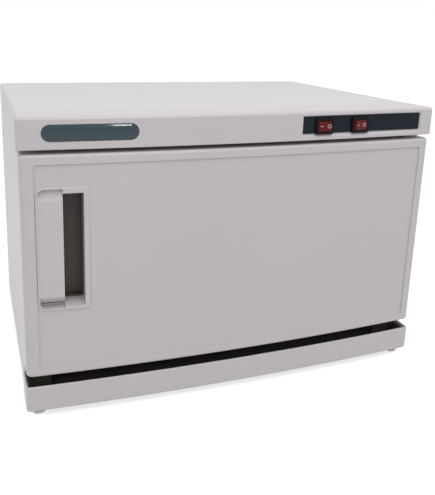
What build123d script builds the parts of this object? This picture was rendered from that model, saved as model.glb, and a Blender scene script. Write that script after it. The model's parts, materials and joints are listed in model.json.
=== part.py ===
from build123d import *
import math
import os

# Hot towel cabinet with a UV lamp: a steel box with a bowed ABS front, one door, and a drip tray.
# Millimetres, +Z up, +X to the right seen from the front, the front faces -Y. The origin lies on the
# table, under the middle of the cabinet. FRONT is the plane through the front corners: the middle of
# the bowed front stands BOW before it, and the tip of the left rocker FRONT_REACH.

# Overall sizes
WIDTH = 452.0
DEPTH = 320.0
BOW = 8.2
FRONT_REACH = 10.4
FOOT_HEIGHT = 7.0
TRAY_HEIGHT = 27.4
DRIP_GAP = 10.8
DOOR_HEIGHT = 222.6
LID_GAP = 4.2
FASCIA_HEIGHT = 30.5
SKIN_INSET = 2.0
SKIN_LIP = 3.0

# Clearances
FIT = 0.3
SEAM = 0.15
PIN_CLEAR = 0.05

# Sheet and wall thicknesses
SHELL_T = 1.0
PANEL_T = 1.0
BASE_T = 1.2
FRAME_T = 1.2
DECK_T = 1.0
TANK_T = 1.0
ABS_T = 2.5
BRACKET_T = 2.0

# Front module: the fascia, the door and the tray front stand before the steel box
MODULE_DEPTH = 38.0
DOOR_DEPTH = 33.0
EDGE_R = 3.5
FASCIA_LOW_R = 0.8
FASCIA_CORNER_R = 3.8
DOOR_CORNER_R = 7.0
DOOR_EDGE_R = 3.0
DOOR_BACK_R = 8.0
DOOR_SIDE_GAP = 1.5
FLANGE = 12.0

# Sunk panel on the door front: its borders and its depth
PANEL_SIDE = 12.5
PANEL_TOP = 9.2
PANEL_BOTTOM = 8.0
PANEL_SINK = 1.4
PANEL_R = 3.0

# Door grip, placed from the door's left edge and top
GRIP_SIDE = 38.2
GRIP_DROP = 92.2
GRIP_WIDTH = 49.6
GRIP_HEIGHT = 122.5
GRIP_RIM = 1.2
GRIP_LAP = 0.9
GRIP_WALL = 1.8
GRIP_LEFT_R = 8.0
GRIP_RIGHT_R = 3.0
GRIP_BORDER = 1.8
GRIP_DEPTH = 22.0
GRIP_LIP_X = 0.3
GRIP_SLOT_RIGHT = 19.8
GRIP_SLOT_TOP = 6.0
GRIP_SLOT_R = 4.0
GRIP_SILL = 3.7
GRIP_SILL_RISE = 1.5
GRIP_SILL_DEPTH = 8.4
FINGER_DROP = 17.0
PAD_PROUD = 0.5
PAD_SLOPE = 11.5
PAD_SINK = 8.9
PAD_SOFT_R = 4.0
PAD_WALL = 4.5
CUP_T = 2.0
CUP_RIM = 5.0

# Name plate and control strip, placed from the fascia's ends and its lower edge
PLATE_SIDE = 66.8
PLATE_RISE = 15.3
PLATE_WIDTH = 89.6
PLATE_HEIGHT = 15.5
PLATE_SINK = 1.0
PLATE_T = 2.2
PLATE_DOME = 0.9
STRIP_SIDE = 18.9
STRIP_RISE = 15.9
STRIP_WIDTH = 148.0
STRIP_HEIGHT = 17.6
STRIP_SINK = 3.2
STRIP_T = 1.5
STRIP_BEVEL_LOW = 3.8
STRIP_BEVEL_SIDE = 2.3
STRIP_BEVEL_TOP = 1.0
STRIP_BACKING = 3.0
POST_CLEAR = 33.0
POST_SIDE = 13.0

# Rocker switches, placed from the strip's left end: how far along, and which end rests in
SWITCHES = {"heat": (24.3, -1), "uv": (68.7, 1)}
SWITCH_RISE = 14.5
SWITCH_WINDOW = (28.0, 16.0)
BEZEL_WIDTH = 21.0
BEZEL_HEIGHT = 17.0
BEZEL_T = 2.5
SWITCH_BODY_WIDTH = 18.8
SWITCH_BODY_HEIGHT = 12.8
SWITCH_BODY_DEPTH = 15.0
ROCKER_R = 8.2
ROCKER_LENGTH = 9.8
ROCKER_CORNER = 31.5
ROCKER_DISH = 0.7
ROCKER_BELOW = 2.5
ROCKER_TILT = 9.0
PIVOT_DEPTH = 2.8
PIVOT_PIN_R = 1.0
PIVOT_PIN_LENGTH = 1.1
BLADE_WIDTH = 4.8
BLADE_T = 0.8
BLADE_LENGTH = 8.0
BLADE_PITCH = 6.2

# Mouth of the warming chamber, placed from the sides and the door's edges, and the tank behind it
MOUTH_SIDE = 35.0
MOUTH_RISE = 20.8
MOUTH_DROP = 21.0
MOUTH_R = 14.0
MOUTH_LIP = 8.0
TANK_MARGIN = 2.0
TANK_LOW_MARGIN = 3.0
TANK_DEPTH = 245.0
TANK_R = 10.0
TANK_FLANGE = 8.0
WOOL_T = 14.0
WOOL_BOTTOM_T = 12.0
SPREADER_T = 1.5
SPREADER_HALF = 150.0
SPREADER_DEPTH = 170.0
SPREADER_LEAD = 35.0
STRAP_X = 60.0
STRAP_WIDTH = 10.0
STRAP_T = 1.2

# Heating element
ELEMENT_R = 3.2
ELEMENT_BEND = 24.0
ELEMENT_PITCH = 50.0
ELEMENT_HALF = 120.0
ELEMENT_STEP = 15.0
ELEMENT_FRONT = 45.0
ELEMENT_LEAD = 16.0

# Hinge
HINGE_INSET = 15.0
HINGE_DEPTH = 18.0
PIN_R = 3.0
PIN_REACH = 11.0
BUSH_R = 5.0
BUSH_FLANGE_R = 7.0
BUSH_FLANGE_T = 1.0
BUSH_LENGTH = 13.0
BOSS_R = 8.0
BRACKET_HALF = 9.0
BRACKET_TAB = 12.0
BRACKET_GAP = 1.6
BRACKET_SCREW_PITCH = 10.0

# Door inside
LINER_T = 1.5
LINER_PLUG = 10.0
LINER_PLUG_GAP = 5.0
LINER_PLUG_R = 10.0
SEAL_WIDTH = 10.0
SEAL_LAP = 2.0
MAGNET_WIDTH = 5.0
MAGNET_T = 2.0
DOOR_POST_R = 4.0
DOOR_POST_SPREAD = 0.68
DOOR_POST_RISE = 0.35
DOOR_SCREW_INSET = 11.5

# Screws
SCREW_R = 1.45
SCREW_HEAD_R = 3.0
SCREW_HEAD_T = 1.6
CSK_R = 2.0
CSK_HEAD_R = 3.6
SCREW_LENGTH = 8.0

# Drip tray, base plate, rails and feet
TRAY_BOW = 7.4
TRAY_FRONT_DEPTH = 33.0
TRAY_CORNER_R = 4.0
TRAY_EDGE_R = 2.2
TRAY_LIP_R = 0.9
TRAY_WALL = 2.2
TRAY_SHELF = 7.0
TRAY_DROP = 3.0
TRAY_FLOOR = 2.0
TRAY_LIFT = 4.5
TRAY_LENGTH = 215.0
BASIN_SIDE = 26.0
BASIN_DROP = 4.2
BASIN_R = 5.0
TONGUE_INSET = 4.5
BASE_FLANGE = 14.0
RAIL_SHELF = 12.0
RAIL_WALL = 2.4
RAIL_HEIGHT = 13.0
FOOT_R = 7.0
FOOT_TOP_R = 7.5
FOOT_INSET = 13.0
FOOT_FRONT = 13.0
FOOT_REAR = 24.0

# Decks that carry the tank and the electrical parts
DECK_RISE = 2.8
DECK_FLANGE = 9.0

# Wire rack and its rails
RACK_RISE = 87.0
RACK_RAIL = 8.0
RACK_RAIL_DROP = 6.0
RACK_RAIL_GAP = 14.0
RACK_RAIL_T = 1.2
RACK_FRAME_R = 2.0
RACK_WIRE_R = 1.2
RACK_BRACE_R = 1.5
RACK_PITCH = 20.0
RACK_SIDE_GAP = 1.4
RACK_FRONT_GAP = 16.0
RACK_BACK_GAP = 50.0
RACK_CORNER_R = 12.0

# UV lamp, its holders and its guard
LAMP_R = 7.8
LAMP_LENGTH = 212.0
LAMP_CAP = 9.0
LAMP_DROP = 18.0
LAMP_BACK = 30.0
HOLDER_T = 14.0
HOLDER_WIDTH = 24.0
HOLDER_CUP = 6.0
GUARD_T = 0.8
GUARD_WIDTH = 42.0
GUARD_SLOT = 15.0
GUARD_SLOT_HEIGHT = 5.0
GUARD_SLOTS = 9

# Rear panel
VENT_LENGTH = 28.0
VENT_HEIGHT = 3.0
VENT_PITCH_X = 36.0
VENT_PITCH_Z = 8.0
VENTS_ACROSS = 5
VENTS_UP = 3
VENT_TOP = 20.0
GLAND_SIDE = 76.0
GLAND_RISE = 47.0
GLAND_BORE_R = 3.7
GLAND_BODY_R = 6.0
GLAND_FLANGE_R = 9.0
GLAND_FLANGE_T = 3.0
GLAND_INSIDE = 10.0

# Electrical parts on the upper deck and behind the tank
BALLAST_SIZE = (86.0, 40.0, 27.0)
BALLAST_AT = (-95.0, 40.0)
STARTER_R = 10.5
STARTER_LENGTH = 34.0
STARTER_AT = (0.0, 40.0)
SOCKET_T = 10.0
BLOCK_SIZE = (46.0, 17.0, 13.0)
BLOCK_AT = (112.0, 70.0)
THERMO_R = 8.0
THERMO_T = 6.0
THERMO_X = -40.0
FUSE_X = 30.0
THERMO_RISE = 57.0
WINDOW_HALF = (62.0, 16.0)

# Levels and planes that follow from the sizes above
FRONT = -(DEPTH + GLAND_FLANGE_T - FRONT_REACH) / 2
REAR = FRONT + DEPTH
FACE = FRONT + MODULE_DEPTH
DOOR_BACK = FRONT + DOOR_DEPTH
Z_BASE = FOOT_HEIGHT
Z_LIP = Z_BASE + TRAY_HEIGHT
Z_DOOR = Z_LIP + DRIP_GAP
Z_DOOR_TOP = Z_DOOR + DOOR_HEIGHT
Z_LID = Z_DOOR_TOP + LID_GAP
HEIGHT = Z_LID + FASCIA_HEIGHT
HALF = WIDTH / 2
SKIN_HALF = HALF - SKIN_INSET
INNER_HALF = SKIN_HALF - SHELL_T - FIT
DOOR_HALF = HALF - DOOR_SIDE_GAP
HINGE_X = HALF - HINGE_INSET
HINGE_Y = FRONT + HINGE_DEPTH
BASE_TOP = Z_BASE + BASE_T
TRAY_FLOOR_Z = Z_BASE + TRAY_LIFT
TRAY_HALF = HALF - BASIN_SIDE
TRAY_BODY_TOP = Z_LIP - BASIN_DROP
LOWER_DECK_TOP = Z_LIP + DECK_RISE
GRIP_X = GRIP_SIDE - DOOR_HALF
GRIP_Z = Z_DOOR_TOP - GRIP_DROP
PLATE_X = PLATE_SIDE - HALF
PLATE_Z = Z_LID + PLATE_RISE
STRIP_X = HALF - STRIP_SIDE - STRIP_WIDTH / 2
STRIP_Z = Z_LID + STRIP_RISE
STRIP_LEFT = STRIP_X - STRIP_WIDTH / 2
SWITCH_XS = {name: STRIP_LEFT + along for name, (along, _) in SWITCHES.items()}
SWITCH_Z = Z_LID + SWITCH_RISE
GLAND_X = HALF - GLAND_SIDE
GLAND_Z = Z_BASE + GLAND_RISE
MOUTH_HALF = HALF - MOUTH_SIDE
MOUTH_LOW = Z_DOOR + MOUTH_RISE
MOUTH_HIGH = Z_DOOR_TOP - MOUTH_DROP
TANK_HALF = MOUTH_HALF + TANK_MARGIN
TANK_LOW = MOUTH_LOW - TANK_LOW_MARGIN
TANK_HIGH = MOUTH_HIGH + TANK_LOW_MARGIN
RACK_Z = TANK_LOW + RACK_RISE
THERMO_AT = (THERMO_X, TANK_LOW + THERMO_RISE)
FUSE_AT = (FUSE_X, TANK_LOW + THERMO_RISE)
TANK_FRONT = FACE + FRAME_T
ELEMENT_Y = TANK_FRONT + ELEMENT_FRONT
TANK_BACK = FACE + TANK_DEPTH
WOOL_BACK = TANK_BACK + TANK_T + FIT + WOOL_T
UPPER_DECK_Z = TANK_HIGH + TANK_T + FIT + WOOL_BOTTOM_T
UPPER_DECK_TOP = UPPER_DECK_Z + DECK_T
SPREADER_Z = TANK_LOW - TANK_T
SEAL_HALF = MOUTH_HALF + SEAL_LAP + SEAL_WIDTH
SEAL_LOW = MOUTH_LOW - SEAL_LAP - SEAL_WIDTH
SEAL_HIGH = MOUTH_HIGH + SEAL_LAP + SEAL_WIDTH
LINER_Y = DOOR_BACK - LINER_T
LAMP_Y = TANK_BACK - LAMP_BACK
LAMP_Z = TANK_HIGH - LAMP_DROP
RACK_WIRE_Z = RACK_Z + RACK_RAIL_T + RACK_FRAME_R


def block(x0, x1, y0, y1, z0, z1):
    """Box between two corners."""
    return Pos((x0 + x1) / 2, (y0 + y1) / 2, (z0 + z1) / 2) * Box(abs(x1 - x0), abs(y1 - y0), abs(z1 - z0))


def rounded_block(x0, x1, y0, y1, z0, z1, radius):
    """Box whose edges along Y are rounded."""
    solid = block(x0, x1, y0, y1, z0, z1)
    return fillet(solid.edges().filter_by(Axis.Y), radius)


def upright(x, y, z0, z1, radius):
    """Cylinder along Z."""
    return Pos(x, y, (z0 + z1) / 2) * Cylinder(radius, z1 - z0)


def lying(x, y0, y1, z, radius):
    """Cylinder along Y."""
    return Pos(x, (y0 + y1) / 2, z) * Rot(90, 0, 0) * Cylinder(radius, abs(y1 - y0))


def across(x0, x1, y, z, radius):
    """Cylinder along X."""
    return Pos((x0 + x1) / 2, y, z) * Rot(0, 90, 0) * Cylinder(radius, abs(x1 - x0))


def bow_radius(bow):
    """Radius of the arc that rises by bow over the cabinet's width."""
    return (HALF ** 2 + bow ** 2) / (2 * bow)


def front_y(x, inset=0.0, bow=BOW):
    """Y of the bowed front at x, moved inwards by inset."""
    radius = bow_radius(bow)
    return FRONT - bow + radius - math.sqrt((radius - inset) ** 2 - x ** 2)


def bowed(half, inset, y_back, z0, z1, corner=0.0, bow=BOW):
    """Upright prism with a bowed front, flat ends and a flat back."""
    y_end = front_y(half, inset, bow)
    right, left = (half, y_end), (-half, y_end)
    outline = Line((-half, y_back), (half, y_back)) + Line((half, y_back), right)
    outline += ThreePointArc(right, (0, front_y(0, inset, bow)), left)
    outline += Line(left, (-half, y_back))
    face = make_face(outline)
    if corner:
        face = fillet(face.vertices().sort_by(Axis.Y)[:2], corner)
    return Pos(0, 0, z0) * extrude(face, z1 - z0)


def front_loop(solid, y_back, top):
    """Edges round the top or the bottom of a bowed prism, less the one at its back."""
    level = solid.edges().group_by(Axis.Z)[-1 if top else 0]
    return level.filter_by(lambda edge: edge.center().Y < y_back - 0.5)


def on_front(x, z, inset=0.0):
    """Place on the bowed front: local x runs to the right, local y up and local z outwards."""
    y = front_y(x, inset)
    slope = x / math.sqrt((bow_radius(BOW) - inset) ** 2 - x ** 2)
    plane = Plane(origin=(x, y, z), x_dir=(1, slope, 0), z_dir=(slope, -1, 0))
    return plane.location


def pan_screw(x, y, z, sign):
    """Pan head screw along Y: its head's seat is at y, and its shank runs towards sign."""
    head = lying(x, min(y, y - sign * SCREW_HEAD_T), max(y, y - sign * SCREW_HEAD_T), z, SCREW_HEAD_R)
    rim = head.edges().sort_by(Axis.Y)[0 if sign > 0 else -1]
    head = fillet(rim, SCREW_HEAD_T * 0.5)
    end = y + sign * SCREW_LENGTH
    return head + lying(x, min(y, end), max(y, end), z, SCREW_R)


def shell_flange_screws():
    """Places of the rear panel's screws: three up each side, three along the top."""
    side = SKIN_HALF - SHELL_T - FLANGE / 2
    top = HEIGHT - SHELL_T - FLANGE / 2
    rows = (Z_BASE + BASE_FLANGE / 2 + BASE_T, (Z_BASE + HEIGHT) / 2)
    places = [(sx * side, z) for sx in (-1, 1) for z in rows]
    return places + [(x, top) for x in (-side, 0, side)]


def outer_shell():
    """One sheet bent over the top and both sides, with lips beside the front and flanges behind."""
    skin = block(-SKIN_HALF, SKIN_HALF, FACE, REAR, Z_BASE, HEIGHT)
    skin = fillet(skin.edges().filter_by(Axis.Y).group_by(Axis.Z)[-1], EDGE_R)
    inner = SKIN_HALF - SHELL_T
    skin += block(-SKIN_HALF, SKIN_HALF, FACE - SKIN_LIP, FACE + 1, Z_BASE, Z_LID - FIT)
    skin -= block(-inner, inner, FACE - SKIN_LIP - 1, FACE + 2, Z_BASE - 1, Z_LID)
    room = block(-inner, inner, FACE - 1, REAR + 1, Z_BASE - 1, HEIGHT - SHELL_T)
    room = fillet(room.edges().filter_by(Axis.Y).group_by(Axis.Z)[-1], EDGE_R - SHELL_T)
    skin -= room
    y0 = REAR - PANEL_T - SHELL_T
    ring = block(-inner - SHELL_T / 2, inner + SHELL_T / 2, y0, y0 + SHELL_T,
                 Z_BASE + BASE_FLANGE + BASE_T, HEIGHT - SHELL_T / 2)
    edge = inner - FLANGE
    ring -= block(-edge, edge, y0 - 1, REAR, Z_BASE - 1, HEIGHT - SHELL_T - FLANGE)
    skin += ring
    for x, z in shell_flange_screws():
        skin -= lying(x, y0 - 1, REAR, z, SCREW_R + SEAM)
    return skin


def rear_panel():
    """Flat back sheet with three rows of vents for the lamp's gear and a hole for the gland."""
    half = SKIN_HALF - SHELL_T - FIT
    top = HEIGHT - SHELL_T - FIT
    sheet = rounded_block(-half, half, REAR - PANEL_T, REAR, Z_BASE + SEAM, top, EDGE_R - SHELL_T)
    for row in range(VENTS_UP):
        z = top - VENT_TOP - row * VENT_PITCH_Z
        for column in range(VENTS_ACROSS):
            x = (column - (VENTS_ACROSS - 1) / 2) * VENT_PITCH_X
            slot = Rot(90, 0, 0) * extrude(SlotOverall(VENT_LENGTH, VENT_HEIGHT), PANEL_T * 2, both=True)
            sheet -= Pos(x, REAR, z) * slot
    sheet -= lying(GLAND_X, REAR - 2 * PANEL_T, REAR + 1, GLAND_Z, GLAND_BODY_R + SEAM)
    for x, z in shell_flange_screws():
        sheet -= lying(x, REAR - 2 * PANEL_T, REAR + 1, z, SCREW_R + SEAM)
    return sheet


def rear_screws():
    """Screws of the rear panel."""
    return Compound(children=[pan_screw(x, REAR, z, -1) for x, z in shell_flange_screws()])


def cord_gland():
    """Flanged bush through the rear panel, bored for the mains lead."""
    body = lying(GLAND_X, REAR - GLAND_INSIDE, REAR + SEAM, GLAND_Z, GLAND_BODY_R)
    collar = lying(GLAND_X, REAR, REAR + GLAND_FLANGE_T, GLAND_Z, GLAND_FLANGE_R)
    collar = fillet(collar.edges().sort_by(Axis.Y)[-1], GLAND_FLANGE_T * 0.4)
    ears = block(GLAND_X - GLAND_BODY_R - 1, GLAND_X + GLAND_BODY_R + 1, REAR - PANEL_T - 3,
                 REAR - PANEL_T - SEAM, GLAND_Z - GLAND_BODY_R / 2, GLAND_Z + GLAND_BODY_R / 2)
    bore = lying(GLAND_X, REAR - GLAND_INSIDE - 1, REAR + GLAND_FLANGE_T + 1, GLAND_Z, GLAND_BORE_R)
    return body + collar + ears - bore


def base_plate():
    """Bottom pan: upturned flanges inside the skin, and a tongue out under the tray's front."""
    back = REAR - PANEL_T - SEAM
    y0 = FACE + SEAM
    pan = block(-INNER_HALF, INNER_HALF, y0, back, Z_BASE, Z_BASE + BASE_FLANGE)
    pan -= block(-INNER_HALF + BASE_T, INNER_HALF - BASE_T, y0 - 1, back - BASE_T, BASE_TOP, HEIGHT)
    pan += bowed(HALF - TONGUE_INSET, TONGUE_INSET, FACE + 1, Z_BASE, BASE_TOP, TRAY_CORNER_R, TRAY_BOW)
    for x, y in foot_places():
        pan -= upright(x, y, Z_BASE - 1, BASE_TOP + 1, SCREW_R + SEAM)
    for x, z in shell_flange_screws():
        if z < Z_BASE + BASE_FLANGE:
            pan -= lying(x, back - 2 * BASE_T, REAR, z, SCREW_R + SEAM)
    return pan


def foot_places():
    """Centres of the four feet."""
    x = HALF - FOOT_INSET
    return [(sx * x, y) for y in (FRONT + FOOT_FRONT, REAR - FOOT_REAR) for sx in (-1, 1)]


def foot(x, y):
    """Tapered rubber foot with a counterbore for its screw."""
    body = Pos(x, y, FOOT_HEIGHT / 2) * Cone(FOOT_R, FOOT_TOP_R, FOOT_HEIGHT)
    body = fillet(body.edges().group_by(Axis.Z)[0], 1.0)
    body -= upright(x, y, -1, FOOT_HEIGHT - SCREW_HEAD_T - 1, SCREW_HEAD_R + FIT)
    return body - upright(x, y, 0, FOOT_HEIGHT + 1, SCREW_R + SEAM)


def foot_screws():
    """Screws that hold the feet to the base plate from below."""
    screws = []
    for x, y in foot_places():
        seat = FOOT_HEIGHT - SCREW_HEAD_T - 1
        head = upright(x, y, seat - SCREW_HEAD_T, seat, SCREW_HEAD_R)
        head = fillet(head.edges().sort_by(Axis.Z)[0], SCREW_HEAD_T * 0.5)
        screws.append(head + upright(x, y, seat, BASE_TOP + BASE_T, SCREW_R))
    return Compound(children=screws)


def tray_rail(sign):
    """Moulded rail on the base plate: a shelf under the tray's edge, a side wall and an end stop."""
    top = TRAY_FLOOR_Z - FIT
    inner = TRAY_HALF - RAIL_SHELF
    guide = TRAY_HALF + 2 * FIT
    outer = guide + RAIL_WALL
    y0, y1 = FACE + FRAME_T + 1, FRONT + TRAY_LENGTH + FIT
    rail = block(inner, outer, y0, y1 + RAIL_WALL, BASE_TOP, top)
    rail += block(guide, outer, y0, y1 + RAIL_WALL, top - 1, top + RAIL_HEIGHT)
    rail += block(inner, outer, y1, y1 + RAIL_WALL, top - 1, top + RAIL_HEIGHT)
    return rail if sign > 0 else mirror(rail, Plane.YZ)


def tray_front():
    """White skirt of the drip tray: a bowed wall, its returns at the sides, a shelf under the tray."""
    half = HALF - FIT
    back = FRONT + TRAY_FRONT_DEPTH
    skirt = bowed(half, 0, back, Z_BASE + FIT, Z_LIP, TRAY_CORNER_R, TRAY_BOW)
    skirt = fillet(front_loop(skirt, back, top=False), TRAY_EDGE_R)
    room = TRAY_CORNER_R - TRAY_WALL
    skirt -= bowed(half - TRAY_WALL, TRAY_WALL, back + 1, TRAY_FLOOR_Z - SEAM, HEIGHT, room, TRAY_BOW)
    skirt -= bowed(half - TRAY_SHELF, TRAY_SHELF, back + 1, 0, HEIGHT, 0, TRAY_BOW)
    inset = TONGUE_INSET - FIT
    skirt -= bowed(HALF - inset, inset, back + 1, 0, BASE_TOP + 2 * FIT, TRAY_CORNER_R, TRAY_BOW)
    rim = skirt.edges().group_by(Axis.Z)[-1]
    rim = rim.filter_by(lambda edge: edge.center().Y < back - 0.5)
    return fillet(rim, TRAY_LIP_R)


def drip_tray():
    """Pull-out tray: a bowed trough behind the skirt, and a shallow basin behind the trough."""
    inset = TRAY_WALL + SEAM
    half = HALF - FIT - inset
    back = FRONT + TRAY_FRONT_DEPTH
    corner = TRAY_CORNER_R - TRAY_WALL
    trough = bowed(half, inset, back, TRAY_FLOOR_Z, Z_LIP - TRAY_DROP, corner, TRAY_BOW)
    basin = block(-TRAY_HALF, TRAY_HALF, back - 5, FRONT + TRAY_LENGTH, TRAY_FLOOR_Z, TRAY_BODY_TOP)
    basin = fillet(basin.edges().filter_by(Axis.Z).group_by(Axis.Y)[-1], BASIN_R)
    floor = TRAY_FLOOR_Z + TRAY_FLOOR
    inset += TRAY_FLOOR
    hollow = bowed(half - TRAY_FLOOR, inset, back - TRAY_FLOOR, floor, HEIGHT, corner, TRAY_BOW)
    well = block(-TRAY_HALF + TRAY_FLOOR, TRAY_HALF - TRAY_FLOOR, back - TRAY_FLOOR - 1,
                 FRONT + TRAY_LENGTH - TRAY_FLOOR, floor, HEIGHT)
    well = fillet(well.edges().filter_by(Axis.Z).group_by(Axis.Y)[-1], BASIN_R - TRAY_FLOOR)
    return trough + basin - hollow - well


def deck(z, y0, y1):
    """Flat sheet between the skin's sides, with an upturned flange along each side."""
    sheet = block(-INNER_HALF, INNER_HALF, y0, y1, z, z + DECK_T)
    for sign in (-1, 1):
        edge = sign * INNER_HALF
        sheet += block(edge, edge - sign * DECK_T, FACE + FLANGE + FIT, y1, z, z + DECK_FLANGE)
    return sheet


def lower_deck():
    """Deck over the drip tray, under the bottom wool."""
    y0, y1 = FACE + FRAME_T + SEAM, REAR - PANEL_T - SHELL_T - FIT
    return deck(LOWER_DECK_TOP - DECK_T, y0, y1)


def upper_deck():
    """Deck over the tank, which carries the lamp's gear and the terminal block."""
    return deck(UPPER_DECK_Z, FACE + FLANGE + FIT, WOOL_BACK)


def mouth(grow, y0, y1):
    """The mouth's rounded outline as a solid, grown by some millimetres."""
    return rounded_block(-MOUTH_HALF - grow, MOUTH_HALF + grow, y0, y1, MOUTH_LOW - grow,
                         MOUTH_HIGH + grow, MOUTH_R + grow)


def front_frame():
    """Steel face of the box: the door's gasket closes on it, and it carries hinges and fascia."""
    half = INNER_HALF - SEAM
    frame = block(-half, half, FACE, FACE + FRAME_T, LOWER_DECK_TOP - DECK_T, HEIGHT - SHELL_T - FIT)
    frame = fillet(frame.edges().filter_by(Axis.Y).group_by(Axis.Z)[-1], EDGE_R)
    for sign in (-1, 1):
        x0, x1 = sorted((sign * half, sign * (half - FRAME_T)))
        frame += block(x0, x1, FACE, FACE + FLANGE, LOWER_DECK_TOP + DECK_T, UPPER_DECK_Z - DECK_T)
    frame += mouth(FRAME_T, FACE, FACE + MOUTH_LIP)
    frame -= mouth(0, FACE - 1, FACE + MOUTH_LIP + 1)
    for x, z in fascia_post_places():
        frame -= lying(x, FACE - 1, FACE + FRAME_T + 1, z, SCREW_R + SEAM)
    for x, z in hinge_screw_places():
        frame -= lying(x, FACE - 1, FACE + FRAME_T + 1, z, CSK_R + SEAM)
    wide, high = SWITCH_WINDOW
    for x in SWITCH_XS.values():
        frame -= rounded_block(x - wide / 2, x + wide / 2, FACE - 1, FACE + FRAME_T + 1,
                               SWITCH_Z - high / 2, SWITCH_Z + high / 2, high / 4)
    return frame


def inner_tank():
    """Deep drawn aluminium tank: rounded corners, a flange behind the front frame."""
    outer = rounded_block(-TANK_HALF - TANK_T, TANK_HALF + TANK_T, TANK_FRONT, TANK_BACK + TANK_T,
                          TANK_LOW - TANK_T, TANK_HIGH + TANK_T, TANK_R + TANK_T)
    room = rounded_block(-TANK_HALF, TANK_HALF, TANK_FRONT - 1, TANK_BACK,
                         TANK_LOW, TANK_HIGH, TANK_R)
    room = fillet(room.faces().sort_by(Axis.Y)[-1].edges(), TANK_R * 0.4)
    outer = fillet(outer.faces().sort_by(Axis.Y)[-1].edges(), TANK_R * 0.4)
    flange = rounded_block(-TANK_HALF - TANK_FLANGE, TANK_HALF + TANK_FLANGE, TANK_FRONT,
                           TANK_FRONT + TANK_T, TANK_LOW - TANK_FLANGE, TANK_HIGH + TANK_FLANGE,
                           TANK_R + TANK_FLANGE)
    tank = outer + flange - room
    for sign in (-1, 1):
        tank -= upright(sign * (LAMP_LENGTH / 2 + HOLDER_T / 2), LAMP_Y, TANK_HIGH - 1,
                        TANK_HIGH + TANK_T + 1, 2.5)
    return tank


def tank_wool():
    """Glass wool blanket over the tank's sides, top and back."""
    grow = TANK_T + FIT
    y0 = FACE + FLANGE + 2
    wool = block(-TANK_HALF - grow - WOOL_T, TANK_HALF + grow + WOOL_T, y0, WOOL_BACK,
                 LOWER_DECK_TOP + WOOL_BOTTOM_T + FIT, UPPER_DECK_Z - SEAM)
    wool = fillet(wool.edges().filter_by(Axis.Y).group_by(Axis.Z)[-1], 8.0)
    wool -= rounded_block(-TANK_HALF - grow, TANK_HALF + grow, y0 - 1, TANK_BACK + grow,
                          LOWER_DECK_TOP - TANK_R, TANK_HIGH + grow, TANK_R)
    x, z = (THERMO_AT[0] + FUSE_AT[0]) / 2, THERMO_AT[1]
    return wool - block(x - WINDOW_HALF[0], x + WINDOW_HALF[0], TANK_BACK, WOOL_BACK + 1,
                        z - WINDOW_HALF[1], z + WINDOW_HALF[1])


def bottom_wool():
    """Glass wool slab on the lower deck, under the heater."""
    half = TANK_HALF + TANK_T + WOOL_T
    slab = block(-half, half, FACE + FLANGE + 2, WOOL_BACK, LOWER_DECK_TOP, LOWER_DECK_TOP + WOOL_BOTTOM_T)
    return fillet(slab.edges().filter_by(Axis.Z), 8.0)


def element_points():
    """Route of the heating element, from one rear end to the other."""
    y0, y1, y2 = (ELEMENT_Y + row * ELEMENT_PITCH for row in range(3))
    y_end = TANK_BACK - ELEMENT_LEAD
    far = ELEMENT_HALF + ELEMENT_PITCH / 2
    near = ELEMENT_HALF - ELEMENT_STEP
    route = [(-far, y_end), (-far, y0), (far, y0), (far, y1)]
    return route + [(-near, y1), (-near, y2), (near, y2), (near, y_end)]


def heating_element():
    """Sheathed heater tube bent back and forth under the tank, with a terminal at each end."""
    z = SPREADER_Z - SPREADER_T - ELEMENT_R
    points = [(x, y, z) for x, y in element_points()]
    path = FilletPolyline(*points, radius=ELEMENT_BEND)
    tube = sweep((path ^ 0) * Circle(ELEMENT_R), path=path)
    for x, y, _ in (points[0], points[-1]):
        tube += lying(x, y - 0.5, y + 8, z, ELEMENT_R * 0.4)
    return tube


def heat_spreader():
    """Aluminium plate against the tank's floor, with straps round the heater tube."""
    y0 = ELEMENT_Y - SPREADER_LEAD
    z = SPREADER_Z - SPREADER_T
    plate = block(-SPREADER_HALF, SPREADER_HALF, y0, y0 + SPREADER_DEPTH, z, SPREADER_Z)
    plate = fillet(plate.edges().filter_by(Axis.Z), 6.0)
    outer, inner, axis = ELEMENT_R + STRAP_T, ELEMENT_R + SEAM, z - ELEMENT_R
    for middle in (-STRAP_X, STRAP_X):
        x0, x1 = middle - STRAP_WIDTH / 2, middle + STRAP_WIDTH / 2
        for row in range(3):
            y = ELEMENT_Y + row * ELEMENT_PITCH
            strap = across(x0, x1, y, axis, outer) + block(x0, x1, y - outer, y + outer, axis, z)
            strap -= across(x0 - 1, x1 + 1, y, axis, inner)
            strap -= block(x0 - 1, x1 + 1, y - inner, y + inner, axis, z)
            plate += strap
    return plate


def thermostat():
    """Bimetal disc thermostat on the tank's back wall."""
    x, z = THERMO_AT
    y = TANK_BACK + TANK_T
    body = lying(x, y, y + THERMO_T, z, THERMO_R)
    body += block(x - THERMO_R - 5, x + THERMO_R + 5, y, y + 1, z - 4, z + 4)
    for sign in (-1, 1):
        middle = x + sign * 4
        body += block(middle - 2.4, middle + 2.4, y + THERMO_T - 0.5, y + THERMO_T + 6, z - 0.4, z + 0.4)
    return body


def thermal_fuse():
    """Thermal fuse under a strap on the tank's back wall."""
    x, z = FUSE_AT
    y = TANK_BACK + TANK_T
    body = across(x - 6, x + 6, y + 2.2, z, 2.0)
    for sign in (-1, 1):
        body += across(x + sign * 5, x + sign * 12, y + 2.2, z, 0.6)
    strap = block(x - 3, x + 3, y, y + 5.2, z - 3.2, z + 3.2) - across(x - 4, x + 4, y + 2.2, z, 1.8)
    return body + strap + block(x - 3, x + 3, y, y + 1, z - 9, z + 3.2)


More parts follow.
